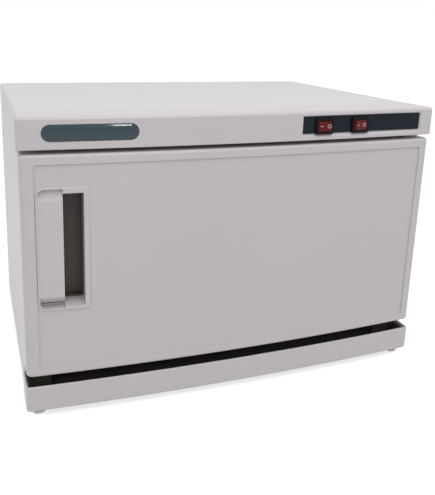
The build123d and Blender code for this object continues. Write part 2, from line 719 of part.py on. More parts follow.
def front_fascia():
    """Moulding over the door: bowed front, plate recess, bevelled strip recess, screw posts."""
    body = bowed(HALF, 0, FACE - SEAM, Z_LID, HEIGHT, FASCIA_CORNER_R)
    body = fillet(front_loop(body, FACE - SEAM, top=True), EDGE_R)
    body = fillet(front_loop(body, FACE - SEAM, top=False), FASCIA_LOW_R)
    body -= bowed(HALF - ABS_T, ABS_T, FACE + 1, Z_LID + ABS_T, HEIGHT - ABS_T,
                  FASCIA_CORNER_R - ABS_T)
    for x, z in fascia_post_places():
        body += lying(x, front_y(x, ABS_T / 2), FACE - SEAM, z, DOOR_POST_R)
    place = on_front(STRIP_X, STRIP_Z)
    wide, high = STRIP_WIDTH + 2 * STRIP_BEVEL_SIDE, STRIP_HEIGHT + STRIP_BEVEL_LOW + STRIP_BEVEL_TOP
    depth = STRIP_SINK + STRIP_BACKING
    middle = (STRIP_BEVEL_TOP - STRIP_BEVEL_LOW) / 2
    backing = Pos(0, middle, -depth / 2) * Box(wide + 2 * ABS_T, high, depth)
    body += (place * backing) & bowed(HALF - 1, 1, FACE, Z_LID + 1, HEIGHT - 1)
    body -= place * strip_recess()
    for x in SWITCH_XS.values():
        body -= on_strip(x) * Pos(0, 0, -depth) * Box(
            SWITCH_BODY_WIDTH + 2 * FIT, SWITCH_BODY_HEIGHT + 2 * FIT, 4 * depth)
    badge = SlotOverall(PLATE_WIDTH + 2 * FIT, PLATE_HEIGHT + 2 * FIT)
    body -= on_front(PLATE_X, PLATE_Z) * Pos(0, 0, -PLATE_SINK) * extrude(badge, 10)
    for x, z in fascia_post_places():
        body -= lying(x, FACE - SCREW_LENGTH - 2, FACE + 1, z, SCREW_R + PIN_CLEAR)
    return body


def strip_recess():
    """The control strip's recess, with a wide bevel along its lower edge."""
    floor = Pos(0, 0, -STRIP_SINK) * Rectangle(STRIP_WIDTH + 2 * SEAM, STRIP_HEIGHT + 2 * SEAM)
    rise = 3.0
    grow = 1 + rise / STRIP_SINK
    wide = STRIP_WIDTH + 2 * STRIP_BEVEL_SIDE * grow
    high = STRIP_HEIGHT + (STRIP_BEVEL_LOW + STRIP_BEVEL_TOP) * grow
    shift = (STRIP_BEVEL_TOP - STRIP_BEVEL_LOW) / 2 * grow
    opening = Pos(0, shift, rise) * Rectangle(wide, high)
    return loft([floor, opening])


def on_strip(x):
    """Place of a switch: on the control strip's face, local z outwards."""
    return on_front(STRIP_X, STRIP_Z) * Pos(x - STRIP_X, SWITCH_Z - STRIP_Z, STRIP_T - STRIP_SINK)


def control_strip():
    """Flat dark panel in the fascia's recess, with a cut-out for each switch."""
    plate = Pos(0, 0, STRIP_T / 2 - STRIP_SINK) * Box(STRIP_WIDTH - SEAM, STRIP_HEIGHT - SEAM, STRIP_T)
    plate = on_front(STRIP_X, STRIP_Z) * plate
    for x in SWITCH_XS.values():
        plate -= on_strip(x) * Box(SWITCH_BODY_WIDTH + FIT, SWITCH_BODY_HEIGHT + FIT, 4 * STRIP_T)
    return plate


def name_plate():
    """Blank stadium badge with a domed face."""
    badge = extrude(SlotOverall(PLATE_WIDTH, PLATE_HEIGHT), PLATE_T)
    badge = fillet(badge.edges().group_by(Axis.Z)[-1], PLATE_DOME)
    return on_front(PLATE_X, PLATE_Z) * Pos(0, 0, -PLATE_SINK) * badge


def fascia_post_places():
    """Screw posts inside the fascia."""
    z = (Z_LID + HEIGHT) / 2
    edge = HALF - POST_SIDE
    plate_right = PLATE_X + PLATE_WIDTH / 2
    return [(-edge, z), (plate_right + POST_CLEAR, z), (STRIP_LEFT - POST_CLEAR, z), (edge, z)]


def fascia_screws():
    """Screws through the front frame into the fascia's posts."""
    seat = FACE + FRAME_T
    return Compound(children=[pan_screw(x, seat, z, -1) for x, z in fascia_post_places()])


def switch_housing(name):
    """Rocker switch body: bezel on the strip, body through it, a round pocket for the rocker."""
    bezel = Pos(0, 0, BEZEL_T / 2) * Box(BEZEL_WIDTH, BEZEL_HEIGHT, BEZEL_T)
    bezel = fillet(bezel.edges().filter_by(Axis.Z), 1.2)
    bezel = fillet(bezel.edges().group_by(Axis.Z)[-1], 0.8)
    body = Pos(0, 0, -SWITCH_BODY_DEPTH / 2) * Box(SWITCH_BODY_WIDTH, SWITCH_BODY_HEIGHT, SWITCH_BODY_DEPTH)
    pocket = Rot(90, 0, 0) * Cylinder(ROCKER_R + FIT, ROCKER_LENGTH + 2 * FIT)
    pocket += Pos(0, 0, ROCKER_R) * Box(2 * (ROCKER_R + FIT), ROCKER_LENGTH + 2 * FIT, 2 * ROCKER_R)
    pins = Rot(90, 0, 0) * Cylinder(PIVOT_PIN_R + PIN_CLEAR, ROCKER_LENGTH + 2 * PIVOT_PIN_LENGTH + FIT)
    housing = bezel + body - Pos(0, 0, BEZEL_T - PIVOT_DEPTH) * (pocket + pins)
    return on_strip(SWITCH_XS[name]) * housing


def rocker(name):
    """Rocker with a dished face, round ends about its pivot and two pivot pins, one end in."""
    angle = math.radians(ROCKER_CORNER)
    tilt = ROCKER_TILT * SWITCHES[name][1]
    top = (ROCKER_R * math.cos(angle), ROCKER_R * math.sin(angle))
    low = (math.sqrt(ROCKER_R ** 2 - ROCKER_BELOW ** 2), -ROCKER_BELOW)
    dish = (0, top[1] - ROCKER_DISH)
    outline = Line((-low[0], low[1]), low) + ThreePointArc(low, (ROCKER_R, 0), top)
    outline += ThreePointArc(top, dish, (-top[0], top[1]))
    outline += ThreePointArc((-top[0], top[1]), (-ROCKER_R, 0), (-low[0], low[1]))
    cap = extrude(make_face(outline), ROCKER_LENGTH / 2, both=True)
    cap = fillet(cap.edges().filter_by(Axis.Z).group_by(Axis.Y)[-1], 0.6)
    cap = Rot(90, 0, 0) * cap
    cap += Rot(90, 0, 0) * Cylinder(PIVOT_PIN_R, ROCKER_LENGTH + 2 * PIVOT_PIN_LENGTH)
    return on_strip(SWITCH_XS[name]) * Pos(0, 0, BEZEL_T - PIVOT_DEPTH) * Rot(0, tilt, 0) * cap


def switch_terminals():
    """Three blade terminals behind each switch."""
    blades = []
    for x in SWITCH_XS.values():
        for step in (-1, 0, 1):
            blade = Pos(step * BLADE_PITCH, 0, -SWITCH_BODY_DEPTH - BLADE_LENGTH / 2) * Box(
                BLADE_T, BLADE_WIDTH, BLADE_LENGTH)
            blades.append(on_strip(x) * blade)
    return Compound(children=blades)


def hinge_screw_places():
    """Screws of both hinge brackets."""
    top = Z_DOOR_TOP + BRACKET_GAP + BRACKET_T - BRACKET_TAB / 2 - 1
    bottom = Z_DOOR - BRACKET_GAP - BRACKET_T + BRACKET_TAB / 2 + 1
    return [(HINGE_X + side * BRACKET_SCREW_PITCH / 2, z) for z in (bottom, top) for side in (-1, 1)]


def hinge_bracket(top):
    """Angle on the front frame: a rounded ear over or under the door, pierced for the pin."""
    if top:
        ear0 = Z_DOOR_TOP + BRACKET_GAP
        tab0, tab1 = ear0 + BRACKET_T - BRACKET_TAB, ear0 + BRACKET_T
    else:
        ear0 = Z_DOOR - BRACKET_GAP - BRACKET_T
        tab0, tab1 = ear0, ear0 + BRACKET_TAB
    x0, x1 = HINGE_X - BRACKET_HALF, HINGE_X + BRACKET_HALF
    ear = block(x0, x1, HINGE_Y, FACE, ear0, ear0 + BRACKET_T)
    ear += upright(HINGE_X, HINGE_Y, ear0, ear0 + BRACKET_T, BRACKET_HALF)
    ear += block(x0, x1, FACE - BRACKET_T, FACE, tab0, tab1)
    ear -= upright(HINGE_X, HINGE_Y, ear0 - 1, ear0 + BRACKET_T + 1, PIN_R + PIN_CLEAR)
    for x, z in hinge_screw_places():
        if tab0 < z < tab1:
            ear -= csk_shape(x, z, SEAM)
    return ear


def csk_shape(x, z, grow):
    """Countersunk head and shank along Y, head flush with the bracket's face."""
    face = FACE - BRACKET_T
    head = Rot(90, 0, 0) * Cone(CSK_R + grow, CSK_HEAD_R + grow, BRACKET_T)
    return Pos(x, face + BRACKET_T / 2, z) * head + lying(x, face, FACE + SCREW_LENGTH, z, CSK_R + grow)


def hinge_screws():
    """Countersunk screws of the hinge brackets."""
    return Compound(children=[csk_shape(x, z, 0) for x, z in hinge_screw_places()])


def hinge_pin(top):
    """Steel pin, held in the bracket's ear and turning in the door's bush."""
    reach = BRACKET_GAP + BRACKET_T + PIN_REACH
    if top:
        pin = upright(HINGE_X, HINGE_Y, Z_DOOR_TOP - PIN_REACH, Z_DOOR_TOP - PIN_REACH + reach, PIN_R)
        return chamfer(pin.edges().sort_by(Axis.Z)[0], 0.8)
    pin = upright(HINGE_X, HINGE_Y, Z_DOOR + PIN_REACH - reach, Z_DOOR + PIN_REACH, PIN_R)
    return chamfer(pin.edges().sort_by(Axis.Z)[-1], 0.8)


def hinge_bush(top):
    """Flanged nylon bush pressed into the door's boss."""
    if top:
        body = upright(HINGE_X, HINGE_Y, Z_DOOR_TOP - BUSH_LENGTH, Z_DOOR_TOP, BUSH_R)
        body += upright(HINGE_X, HINGE_Y, Z_DOOR_TOP, Z_DOOR_TOP + BUSH_FLANGE_T, BUSH_FLANGE_R)
    else:
        body = upright(HINGE_X, HINGE_Y, Z_DOOR, Z_DOOR + BUSH_LENGTH, BUSH_R)
        body += upright(HINGE_X, HINGE_Y, Z_DOOR - BUSH_FLANGE_T, Z_DOOR, BUSH_FLANGE_R)
    z0 = Z_DOOR_TOP - BUSH_LENGTH + 1 if top else Z_DOOR - BUSH_FLANGE_T - 1
    z1 = Z_DOOR_TOP + BUSH_FLANGE_T + 1 if top else Z_DOOR + BUSH_LENGTH - 1
    return body - upright(HINGE_X, HINGE_Y, z0, z1, PIN_R + PIN_CLEAR)


def door_post_places():
    """Screw posts inside the door, clear of the gasket, the grip and the hinge bosses."""
    left = -DOOR_HALF + DOOR_SCREW_INSET
    right = SEAL_HALF + SCREW_HEAD_R + FIT * 6
    low = SEAL_LOW - SCREW_HEAD_R
    high = SEAL_HIGH + SCREW_HEAD_R
    middle = (Z_DOOR + Z_DOOR_TOP) / 2
    rise = DOOR_HEIGHT * DOOR_POST_RISE
    side = MOUTH_HALF * DOOR_POST_SPREAD
    places = [(right, z) for z in (middle - rise, middle, middle + rise)]
    places += [(left, z) for z in (low + 2 * SCREW_HEAD_R, high - 2 * SCREW_HEAD_R)]
    return places + [(x, z) for z in (low, high) for x in (-side, 0, side)]


def door_opening(grow, y0, y1):
    """The opening in the door's back that the liner closes, grown by some millimetres."""
    left = -DOOR_HALF + ABS_T + FIT
    right = DOOR_HALF - DOOR_BACK_R - ABS_T - FIT
    return rounded_block(left - grow, right + grow, y0, y1, Z_DOOR + ABS_T + FIT - grow,
                         Z_DOOR_TOP - ABS_T - FIT + grow, 2.0)


def door_shell():
    """Bowed outer moulding of the door, hollow from behind, with a sunk panel on its face."""
    body = bowed(DOOR_HALF, 0, DOOR_BACK, Z_DOOR, Z_DOOR_TOP, DOOR_CORNER_R)
    body = fillet(front_loop(body, DOOR_BACK, top=True), DOOR_EDGE_R)
    body = fillet(front_loop(body, DOOR_BACK, top=False), DOOR_EDGE_R)
    corner_x, corner_y = DOOR_HALF - DOOR_BACK_R, DOOR_BACK - DOOR_BACK_R
    corner = block(corner_x, DOOR_HALF + 1, corner_y, DOOR_BACK + 1, Z_DOOR - 1, Z_DOOR_TOP + 1)
    body -= corner - upright(corner_x, corner_y, Z_DOOR - 2, Z_DOOR_TOP + 2, DOOR_BACK_R)
    sunk = rounded_block(-DOOR_HALF + PANEL_SIDE, DOOR_HALF - PANEL_SIDE, FRONT - 2 * BOW, FRONT + BOW,
                         Z_DOOR + PANEL_BOTTOM, Z_DOOR_TOP - PANEL_TOP, PANEL_R)
    body -= sunk - bowed(DOOR_HALF, PANEL_SINK, DOOR_BACK, Z_DOOR - 1, Z_DOOR_TOP + 1)
    hollow = bowed(DOOR_HALF - ABS_T, ABS_T + PANEL_SINK, DOOR_BACK - 5, Z_DOOR + ABS_T, Z_DOOR_TOP - ABS_T)
    body -= hollow + door_opening(0, DOOR_BACK - 6, DOOR_BACK + 1)
    for x, z in door_post_places():
        body += lying(x, front_y(x, ABS_T / 2 + PANEL_SINK), LINER_Y, z, DOOR_POST_R)
    for z0, z1 in ((Z_DOOR + 1, Z_DOOR + BUSH_LENGTH + 1), (Z_DOOR_TOP - BUSH_LENGTH - 1, Z_DOOR_TOP - 1)):
        body += upright(HINGE_X, HINGE_Y, z0, z1, BOSS_R)
    for z0, z1 in ((Z_DOOR - 1, Z_DOOR + BUSH_LENGTH), (Z_DOOR_TOP - BUSH_LENGTH, Z_DOOR_TOP + 1)):
        body -= upright(HINGE_X, HINGE_Y, z0, z1, BUSH_R)
    for x, z in door_post_places():
        body -= lying(x, LINER_Y - SCREW_LENGTH, LINER_Y + 1, z, SCREW_R + PIN_CLEAR)
    return body - on_grip() * extrude(grip_outline(GRIP_LAP - SEAM), 8, both=True)


def on_grip():
    """Place of the grip: on the door's sunk panel, local z outwards."""
    return on_front(GRIP_X, GRIP_Z, PANEL_SINK)


def grip_outline(inset):
    """The grip's outline moved inwards: wide corners at the left, tight ones at the right."""
    outline = Rectangle(GRIP_WIDTH - 2 * inset, GRIP_HEIGHT - 2 * inset)
    outline = fillet(outline.vertices().group_by(Axis.X)[0], GRIP_LEFT_R - inset)
    return fillet(outline.vertices().group_by(Axis.X)[-1], GRIP_RIGHT_R - inset)


def grip_levels():
    """Heights in the grip's own frame: the slot's ends, and the top of the space behind the pad."""
    half = GRIP_HEIGHT / 2
    return GRIP_SILL + GRIP_SILL_RISE - half, half - GRIP_SLOT_TOP, half - FINGER_DROP


def handle_insert():
    """White grip moulding: a thin rim, a pad whose ends slope in, a finger slot over a sloped sill."""
    low, high, finger_top = grip_levels()
    half = GRIP_HEIGHT / 2
    rim = Pos(0, 0, SEAM) * extrude(grip_outline(0), GRIP_RIM - SEAM)
    rim = fillet(rim.edges().group_by(Axis.Z)[-1], 0.7)
    body = rim + Pos(0, 0, -GRIP_DEPTH) * extrude(grip_outline(GRIP_LAP), GRIP_DEPTH + 2 * SEAM)
    recess = extrude(grip_outline(GRIP_BORDER), PAD_SINK + 3, both=True)
    recess &= block(-GRIP_WIDTH, GRIP_LIP_X, -half, half, -PAD_SINK, 3)
    end, foot_y = half - GRIP_BORDER - PAD_SLOPE, half - GRIP_BORDER + 1
    drop = PAD_SINK * (PAD_SLOPE + 1) / PAD_SLOPE
    pad = make_face(Polyline((-foot_y, -PAD_SINK - 2), (-foot_y, PAD_PROUD - drop),
                             (-end, PAD_PROUD), (end, PAD_PROUD),
                             (foot_y, PAD_PROUD - drop), (foot_y, -PAD_SINK - 2), close=True))
    pad = fillet(pad.vertices().group_by(Axis.Y)[-1], PAD_SOFT_R)
    left = GRIP_BORDER - GRIP_WIDTH / 2 - 0.2
    pad = Pos(left, 0, 0) * extrude(Plane.YZ * pad, GRIP_LIP_X - left)
    body = body - recess + (pad & extrude(grip_outline(GRIP_BORDER - 0.2), 2 * GRIP_DEPTH, both=True))
    inner = GRIP_LAP + GRIP_WALL - GRIP_WIDTH / 2
    body -= block(inner, GRIP_SLOT_RIGHT, low, finger_top, -GRIP_DEPTH - 1, -PAD_WALL)
    body -= rounded_slot(GRIP_LIP_X, GRIP_SLOT_RIGHT, low, high)
    sill = make_face(Polyline((GRIP_SILL - half, 3), (GRIP_SILL - half, 0), (low, -GRIP_SILL_DEPTH),
                              (low + GRIP_SLOT_R, -GRIP_SILL_DEPTH), (low + GRIP_SLOT_R, 3), close=True))
    body -= Pos(GRIP_LIP_X, 0, 0) * extrude(Plane.YZ * sill, GRIP_SLOT_RIGHT - GRIP_LIP_X)
    return on_grip() * body


def rounded_slot(x0, x1, low, high):
    """Through slot in the grip's own frame, its lower corners rounded."""
    slot = block(x0, x1, low, high, -GRIP_DEPTH - 1, 3)
    return fillet(slot.edges().filter_by(Axis.Z).group_by(Axis.Y)[0], GRIP_SLOT_R)


def handle_cup():
    """Dark cup that closes the grip's finger space from behind."""
    low, high, finger_top = grip_levels()
    left, right = GRIP_LAP + GRIP_WALL - GRIP_WIDTH / 2 + SEAM, GRIP_SLOT_RIGHT - SEAM
    slot_left = GRIP_LIP_X + SEAM
    low += SEAM
    rim_z = CUP_RIM - GRIP_DEPTH
    back = block(left - 1, right + 1, low - 1, high + 1, -GRIP_DEPTH - CUP_T, -GRIP_DEPTH - SEAM)
    plug = block(left, right, low, finger_top - SEAM, -GRIP_DEPTH - 1, rim_z)
    plug += block(slot_left, right, low, high - SEAM, -GRIP_DEPTH - 1, rim_z)
    room = block(left + CUP_T, right - CUP_T / 2, low + CUP_T, finger_top - CUP_T, SEAM - GRIP_DEPTH, 0)
    room += block(slot_left + CUP_T, right - CUP_T / 2, low + CUP_T, high - CUP_T, SEAM - GRIP_DEPTH, 0)
    plug = fillet(plug.edges().filter_by(Axis.Z).group_by(Axis.Y)[0], GRIP_SLOT_R)
    return on_grip() * (back + plug - room)


def door_liner():
    """Inner panel of the door, with a raised plug that reaches into the mouth."""
    sheet = door_opening(-SEAM, LINER_Y, DOOR_BACK)
    edge = LINER_PLUG_GAP
    plug = rounded_block(-MOUTH_HALF + edge, MOUTH_HALF - edge, LINER_Y, DOOR_BACK + LINER_PLUG,
                         MOUTH_LOW + edge, MOUTH_HIGH - edge, LINER_PLUG_R)
    plug = fillet(plug.faces().sort_by(Axis.Y)[-1].edges(), 3.0)
    inside = rounded_block(-MOUTH_HALF + edge + LINER_T, MOUTH_HALF - edge - LINER_T, LINER_Y - 1,
                           DOOR_BACK + LINER_PLUG - LINER_T, MOUTH_LOW + edge + LINER_T,
                           MOUTH_HIGH - edge - LINER_T, LINER_PLUG_R - LINER_T)
    liner = sheet + plug - inside
    for x, z in door_post_places():
        liner -= lying(x, LINER_Y - 1, DOOR_BACK + 1, z, SCREW_R + SEAM)
    return liner


def door_foam():
    """Foam slab inside the door, cut round the grip and the screw posts."""
    half = MOUTH_HALF - LINER_PLUG_GAP - LINER_T - FIT
    foam = bowed(half, ABS_T + PANEL_SINK + FIT, LINER_Y - SEAM, MOUTH_LOW - 6, MOUTH_HIGH + 6)
    foam += block(-half, half, LINER_Y - 1, DOOR_BACK + LINER_PLUG - LINER_T - SEAM,
                  MOUTH_LOW + LINER_PLUG_GAP + LINER_T + FIT, MOUTH_HIGH - LINER_PLUG_GAP - LINER_T - FIT)
    foam = foam - block(-half - 1, half + 1, LINER_Y - 0.5, DOOR_BACK + LINER_PLUG,
                        MOUTH_HIGH - LINER_PLUG_GAP - 8, MOUTH_HIGH + 20)
    foam = foam - block(-half - 1, half + 1, LINER_Y - 0.5, DOOR_BACK + LINER_PLUG,
                        MOUTH_LOW - 20, MOUTH_LOW + LINER_PLUG_GAP + 8)
    grip = Pos(0, 0, -GRIP_DEPTH / 2) * Box(GRIP_WIDTH + 2, GRIP_HEIGHT, GRIP_DEPTH + 2 * CUP_T + 8)
    foam -= on_grip() * grip
    for x, z in door_post_places():
        foam -= lying(x, FRONT - BOW, DOOR_BACK, z, DOOR_POST_R + FIT)
    return foam


def seal_ring(y0, y1, inner, outer):
    """Square ring round the mouth, between two distances outside it."""
    ring = block(-MOUTH_HALF - outer, MOUTH_HALF + outer, y0, y1, MOUTH_LOW - outer, MOUTH_HIGH + outer)
    return ring - block(-MOUTH_HALF - inner, MOUTH_HALF + inner, y0 - 1, y1 + 1,
                        MOUTH_LOW - inner, MOUTH_HIGH + inner)


def door_gasket():
    """Soft gasket on the liner, grooved from behind for its magnet strips."""
    lip = FACE - FIT
    ring = seal_ring(DOOR_BACK, lip, SEAL_LAP, SEAL_LAP + SEAL_WIDTH)
    ring = fillet(ring.faces().sort_by(Axis.Y)[-1].edges(), 1.0)
    side = (SEAL_WIDTH - MAGNET_WIDTH) / 2 - SEAM
    return ring - seal_ring(DOOR_BACK - 1, DOOR_BACK + MAGNET_T + SEAM, SEAL_LAP + side,
                            SEAL_LAP + SEAL_WIDTH - side)


def gasket_magnets():
    """Four magnet strips in the gasket's groove."""
    side = SEAL_LAP + (SEAL_WIDTH - MAGNET_WIDTH) / 2
    wide, y0, y1 = MAGNET_WIDTH, DOOR_BACK, DOOR_BACK + MAGNET_T
    x_in, z_low, z_high = MOUTH_HALF + side, MOUTH_LOW - side, MOUTH_HIGH + side
    strips = [block(-x_in, x_in, y0, y1, z_high, z_high + wide),
              block(-x_in, x_in, y0, y1, z_low - wide, z_low),
              block(-x_in - wide, -x_in - FIT, y0, y1, z_low - wide, z_high + wide),
              block(x_in + FIT, x_in + wide, y0, y1, z_low - wide, z_high + wide)]
    return Compound(children=strips)


def door_screws():
    """Screws through the liner into the door's posts."""
    return Compound(children=[pan_screw(x, DOOR_BACK, z, -1) for x, z in door_post_places()])


def rack_rail(sign):
    """Aluminium angle on the tank's side wall."""
    y0, y1 = TANK_FRONT + RACK_RAIL_GAP, TANK_BACK - RACK_RAIL_GAP
    rail = block(TANK_HALF - RACK_RAIL_T, TANK_HALF - SEAM, y0, y1, RACK_Z - RACK_RAIL_DROP,
                 RACK_Z + RACK_RAIL_T)
    rail += block(TANK_HALF - RACK_RAIL, TANK_HALF - SEAM, y0, y1, RACK_Z, RACK_Z + RACK_RAIL_T)
    return rail if sign > 0 else mirror(rail, Plane.YZ)


def wire_rack():
    """Welded wire shelf: a bent frame, two braces across it and close wires front to back."""
    half = TANK_HALF - RACK_RAIL_T - RACK_SIDE_GAP - RACK_FRAME_R
    y0, y1 = TANK_FRONT + RACK_FRONT_GAP, TANK_BACK - RACK_BACK_GAP
    outline = RectangleRounded(2 * half, y1 - y0, RACK_CORNER_R).wire()
    outline = Pos(0, (y0 + y1) / 2, RACK_WIRE_Z) * outline
    rack = sweep((outline ^ 0) * Circle(RACK_FRAME_R), path=outline)
    wire_z = RACK_WIRE_Z + RACK_BRACE_R + RACK_WIRE_R * 0.8
    count = int((2 * half - 2 * RACK_CORNER_R) / RACK_PITCH)
    for index in range(count + 1):
        x = (index - count / 2) * RACK_PITCH
        rack += lying(x, y0, y1, wire_z, RACK_WIRE_R)
    for share in (1 / 3, 2 / 3):
        y = y0 + (y1 - y0) * share
        rack += across(-half, half, y, RACK_WIRE_Z, RACK_BRACE_R)
    return rack


def uv_lamp():
    """Slim lamp tube with a metal cap and two pins at each end."""
    half = LAMP_LENGTH / 2
    lamp = across(-half + LAMP_CAP, half - LAMP_CAP, LAMP_Y, LAMP_Z, LAMP_R - 0.4)
    for sign in (-1, 1):
        x0, x1 = sorted((sign * half, sign * (half - LAMP_CAP)))
        lamp += across(x0, x1, LAMP_Y, LAMP_Z, LAMP_R)
        for side in (-2.4, 2.4):
            p0, p1 = sorted((sign * (half - 0.5), sign * (half + 6)))
            lamp += across(p0, p1, LAMP_Y, LAMP_Z + side, 1.0)
    return lamp


def lamp_holder(sign):
    """End socket that hangs from the tank's ceiling and cups the lamp's cap."""
    half = LAMP_LENGTH / 2
    x0, x1 = sorted((sign * (half - HOLDER_CUP), sign * (half - HOLDER_CUP + HOLDER_T)))
    low = LAMP_Z - HOLDER_WIDTH / 2
    holder = block(x0, x1, LAMP_Y - HOLDER_WIDTH / 2, LAMP_Y + HOLDER_WIDTH / 2, low, TANK_HIGH)
    holder = fillet(holder.edges().filter_by(Axis.X).group_by(Axis.Z)[0], HOLDER_WIDTH / 2 - 1)
    cup0, cup1 = sorted((sign * (half - HOLDER_CUP - 1), sign * half))
    holder -= across(cup0, cup1 + (SEAM if sign > 0 else 0), LAMP_Y, LAMP_Z, LAMP_R + SEAM)
    for side in (-2.4, 2.4):
        p0, p1 = sorted((sign * (half - 1), sign * (half + 6 + SEAM)))
        holder -= across(p0, p1, LAMP_Y, LAMP_Z + side, 1.0 + SEAM)
    return holder


def lamp_guard():
    """Slotted sheet trough round the lamp, hung from the tank's ceiling."""
    half = LAMP_LENGTH / 2 - HOLDER_CUP - 1
    wide = GUARD_WIDTH / 2
    low = LAMP_Z - LAMP_R - 6
    guard = block(-half, half, LAMP_Y - wide, LAMP_Y + wide, low, TANK_HIGH)
    guard = fillet(guard.edges().filter_by(Axis.X).group_by(Axis.Z)[0], 8.0)
    room = block(-half - 1, half + 1, LAMP_Y - wide + GUARD_T, LAMP_Y + wide - GUARD_T,
                 low + GUARD_T, TANK_HIGH + 1)
    guard -= fillet(room.edges().filter_by(Axis.X).group_by(Axis.Z)[0], 8.0 - GUARD_T)
    for index in range(GUARD_SLOTS):
        x = (index - (GUARD_SLOTS - 1) / 2) * (2 * half - 10) / GUARD_SLOTS
        slot = SlotOverall(GUARD_SLOT, GUARD_SLOT_HEIGHT)
        for side in (-1, 0, 1):
            guard -= Pos(x, LAMP_Y + side * 8, low) * extrude(slot, 2, both=True)
        guard -= Pos(x, LAMP_Y - wide, LAMP_Z) * Rot(90, 0, 0) * extrude(slot, 2, both=True)
    return guard


def uv_ballast():
    """Lamp ballast: laminated core, winding cheeks and two feet."""
    x, y = BALLAST_AT
    long, wide, high = BALLAST_SIZE
    z = UPPER_DECK_TOP
    body = block(x - long / 2 + 10, x + long / 2 - 10, y - wide / 2, y + wide / 2, z, z + high)
    body = chamfer(body.edges().filter_by(Axis.X).group_by(Axis.Z)[-1], 3.0)
    body += block(x - long / 2, x + long / 2, y - wide / 2 + 4, y + wide / 2 - 4, z, z + 1.2)
    body += block(x - long / 2 + 4, x + long / 2 - 4, y - wide / 2 + 8, y + wide / 2 - 8, z, z + high - 6)
    for sign in (-1, 1):
        body -= upright(x + sign * (long / 2 - 2.2), y, z - 1, z + 3, 1.2)
    return body


def uv_starter():
    """Starter can for the lamp, lying in its socket."""
    x, y = STARTER_AT
    z = UPPER_DECK_TOP + STARTER_R + 1.5
    can = across(x, x + STARTER_LENGTH, y, z, STARTER_R)
    can = fillet(can.edges().sort_by(Axis.X)[-1], 1.5)
    for side in (-5.0, 5.0):
        can += across(x - 6, x + 0.5, y + side, z, 1.6)
    return can


def starter_socket():
    """Socket on the upper deck, drilled for the starter's two studs."""
    x, y = STARTER_AT
    z = UPPER_DECK_TOP
    body = block(x - SOCKET_T, x - SEAM, y - 12, y + 12, z, z + 2 * STARTER_R + 2)
    body = fillet(body.edges().filter_by(Axis.X).group_by(Axis.Z)[-1], 5.0)
    body += block(x - SOCKET_T - 8, x - SEAM, y - 12, y + 12, z, z + 2)
    for side in (-5.0, 5.0):
        body -= across(x - 7, x + 1, y + side, z + STARTER_R + 1.5, 1.6 + SEAM)
    return body


def terminal_block():
    """Four way terminal block on the upper deck."""
    x, y = BLOCK_AT
    long, wide, high = BLOCK_SIZE
    z = UPPER_DECK_TOP
    body = block(x - long / 2, x + long / 2, y - wide / 2, y + wide / 2, z, z + high * 0.6)
    pitch = long / 4
    for way in range(4):
        cx = x + (way - 1.5) * pitch
        body += block(cx - 4, cx + 4, y - 5, y + 5, z + 1, z + high)
        body -= upright(cx, y, z + high - 5, z + high + 1, 2.0)
        body -= lying(cx, y - wide, y + wide, z + 3.5, 1.5)
    return body


def save(name, shape):
    """Write one sub-part."""
    export_step(shape, f"parts/{name}.step")


def main():
    """Build and write every sub-part."""
    os.makedirs("parts", exist_ok=True)
    plain = [outer_shell, rear_panel, rear_screws, cord_gland, base_plate, foot_screws, tray_front,
             drip_tray, lower_deck, upper_deck, front_frame, inner_tank, tank_wool, bottom_wool,
             heating_element, heat_spreader, thermostat, thermal_fuse, front_fascia, control_strip,
             name_plate, fascia_screws, switch_terminals, hinge_screws, door_shell, handle_insert,
             handle_cup, door_liner, door_foam, door_gasket, gasket_magnets, door_screws, wire_rack,
             uv_lamp, lamp_guard, uv_ballast, uv_starter, starter_socket, terminal_block]
    for make in plain:
        save(make.__name__, make())
    for name, top in (("top", True), ("bottom", False)):
        save(f"hinge_bracket_{name}", hinge_bracket(top))
        save(f"hinge_pin_{name}", hinge_pin(top))
        save(f"hinge_bush_{name}", hinge_bush(top))
    for name, sign in (("left", -1), ("right", 1)):
        save(f"tray_rail_{name}", tray_rail(sign))
        save(f"rack_rail_{name}", rack_rail(sign))
        save(f"lamp_holder_{name}", lamp_holder(sign))
    for name in SWITCH_XS:
        save(f"switch_housing_{name}", switch_housing(name))
        save(f"rocker_{name}", rocker(name))
    sides = ("front_left", "front_right", "rear_left", "rear_right")
    for side, (x, y) in zip(sides, foot_places()):
        save(f"foot_{side}", foot(x, y))
    for name, x in SWITCH_XS.items():
        at = (on_strip(x) * Pos(0, 0, BEZEL_T - PIVOT_DEPTH)).position
        print(f"pivot of rocker_{name}: {at.X:.3f} {at.Y:.3f} {at.Z:.3f}")
    print(f"hinge axis: {HINGE_X:.3f} {HINGE_Y:.3f}")
    print(f"front {FRONT:.3f}, face {FACE:.3f}, rear {REAR:.3f}, height {HEIGHT:.3f}")


if __name__ == "__main__":
    main()
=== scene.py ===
"""Finishes, screw heads, switch marks and a studio stage for a table-top hot towel cabinet."""

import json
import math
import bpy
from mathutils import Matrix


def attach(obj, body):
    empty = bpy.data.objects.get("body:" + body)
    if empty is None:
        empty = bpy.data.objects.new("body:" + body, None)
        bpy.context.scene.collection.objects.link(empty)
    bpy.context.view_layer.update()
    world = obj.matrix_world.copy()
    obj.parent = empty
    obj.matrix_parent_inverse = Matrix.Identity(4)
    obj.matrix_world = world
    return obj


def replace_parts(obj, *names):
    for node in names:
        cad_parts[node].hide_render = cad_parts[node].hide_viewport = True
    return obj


bl_info = {
    "name": "Hot Towel Cabinet",
    "version": (1, 0, 0),
    "blender": (4, 5, 0),
    "location": "View3D > Sidebar > Cabinet",
    "description": "Dresses a hot towel cabinet: paint, mouldings, switch marks, screws and stage",
    "category": "Object",
}

import bmesh
import bpy
from bpy.props import FloatProperty, FloatVectorProperty, PointerProperty
from mathutils import Matrix, Vector
from mathutils.bvhtree import BVHTree

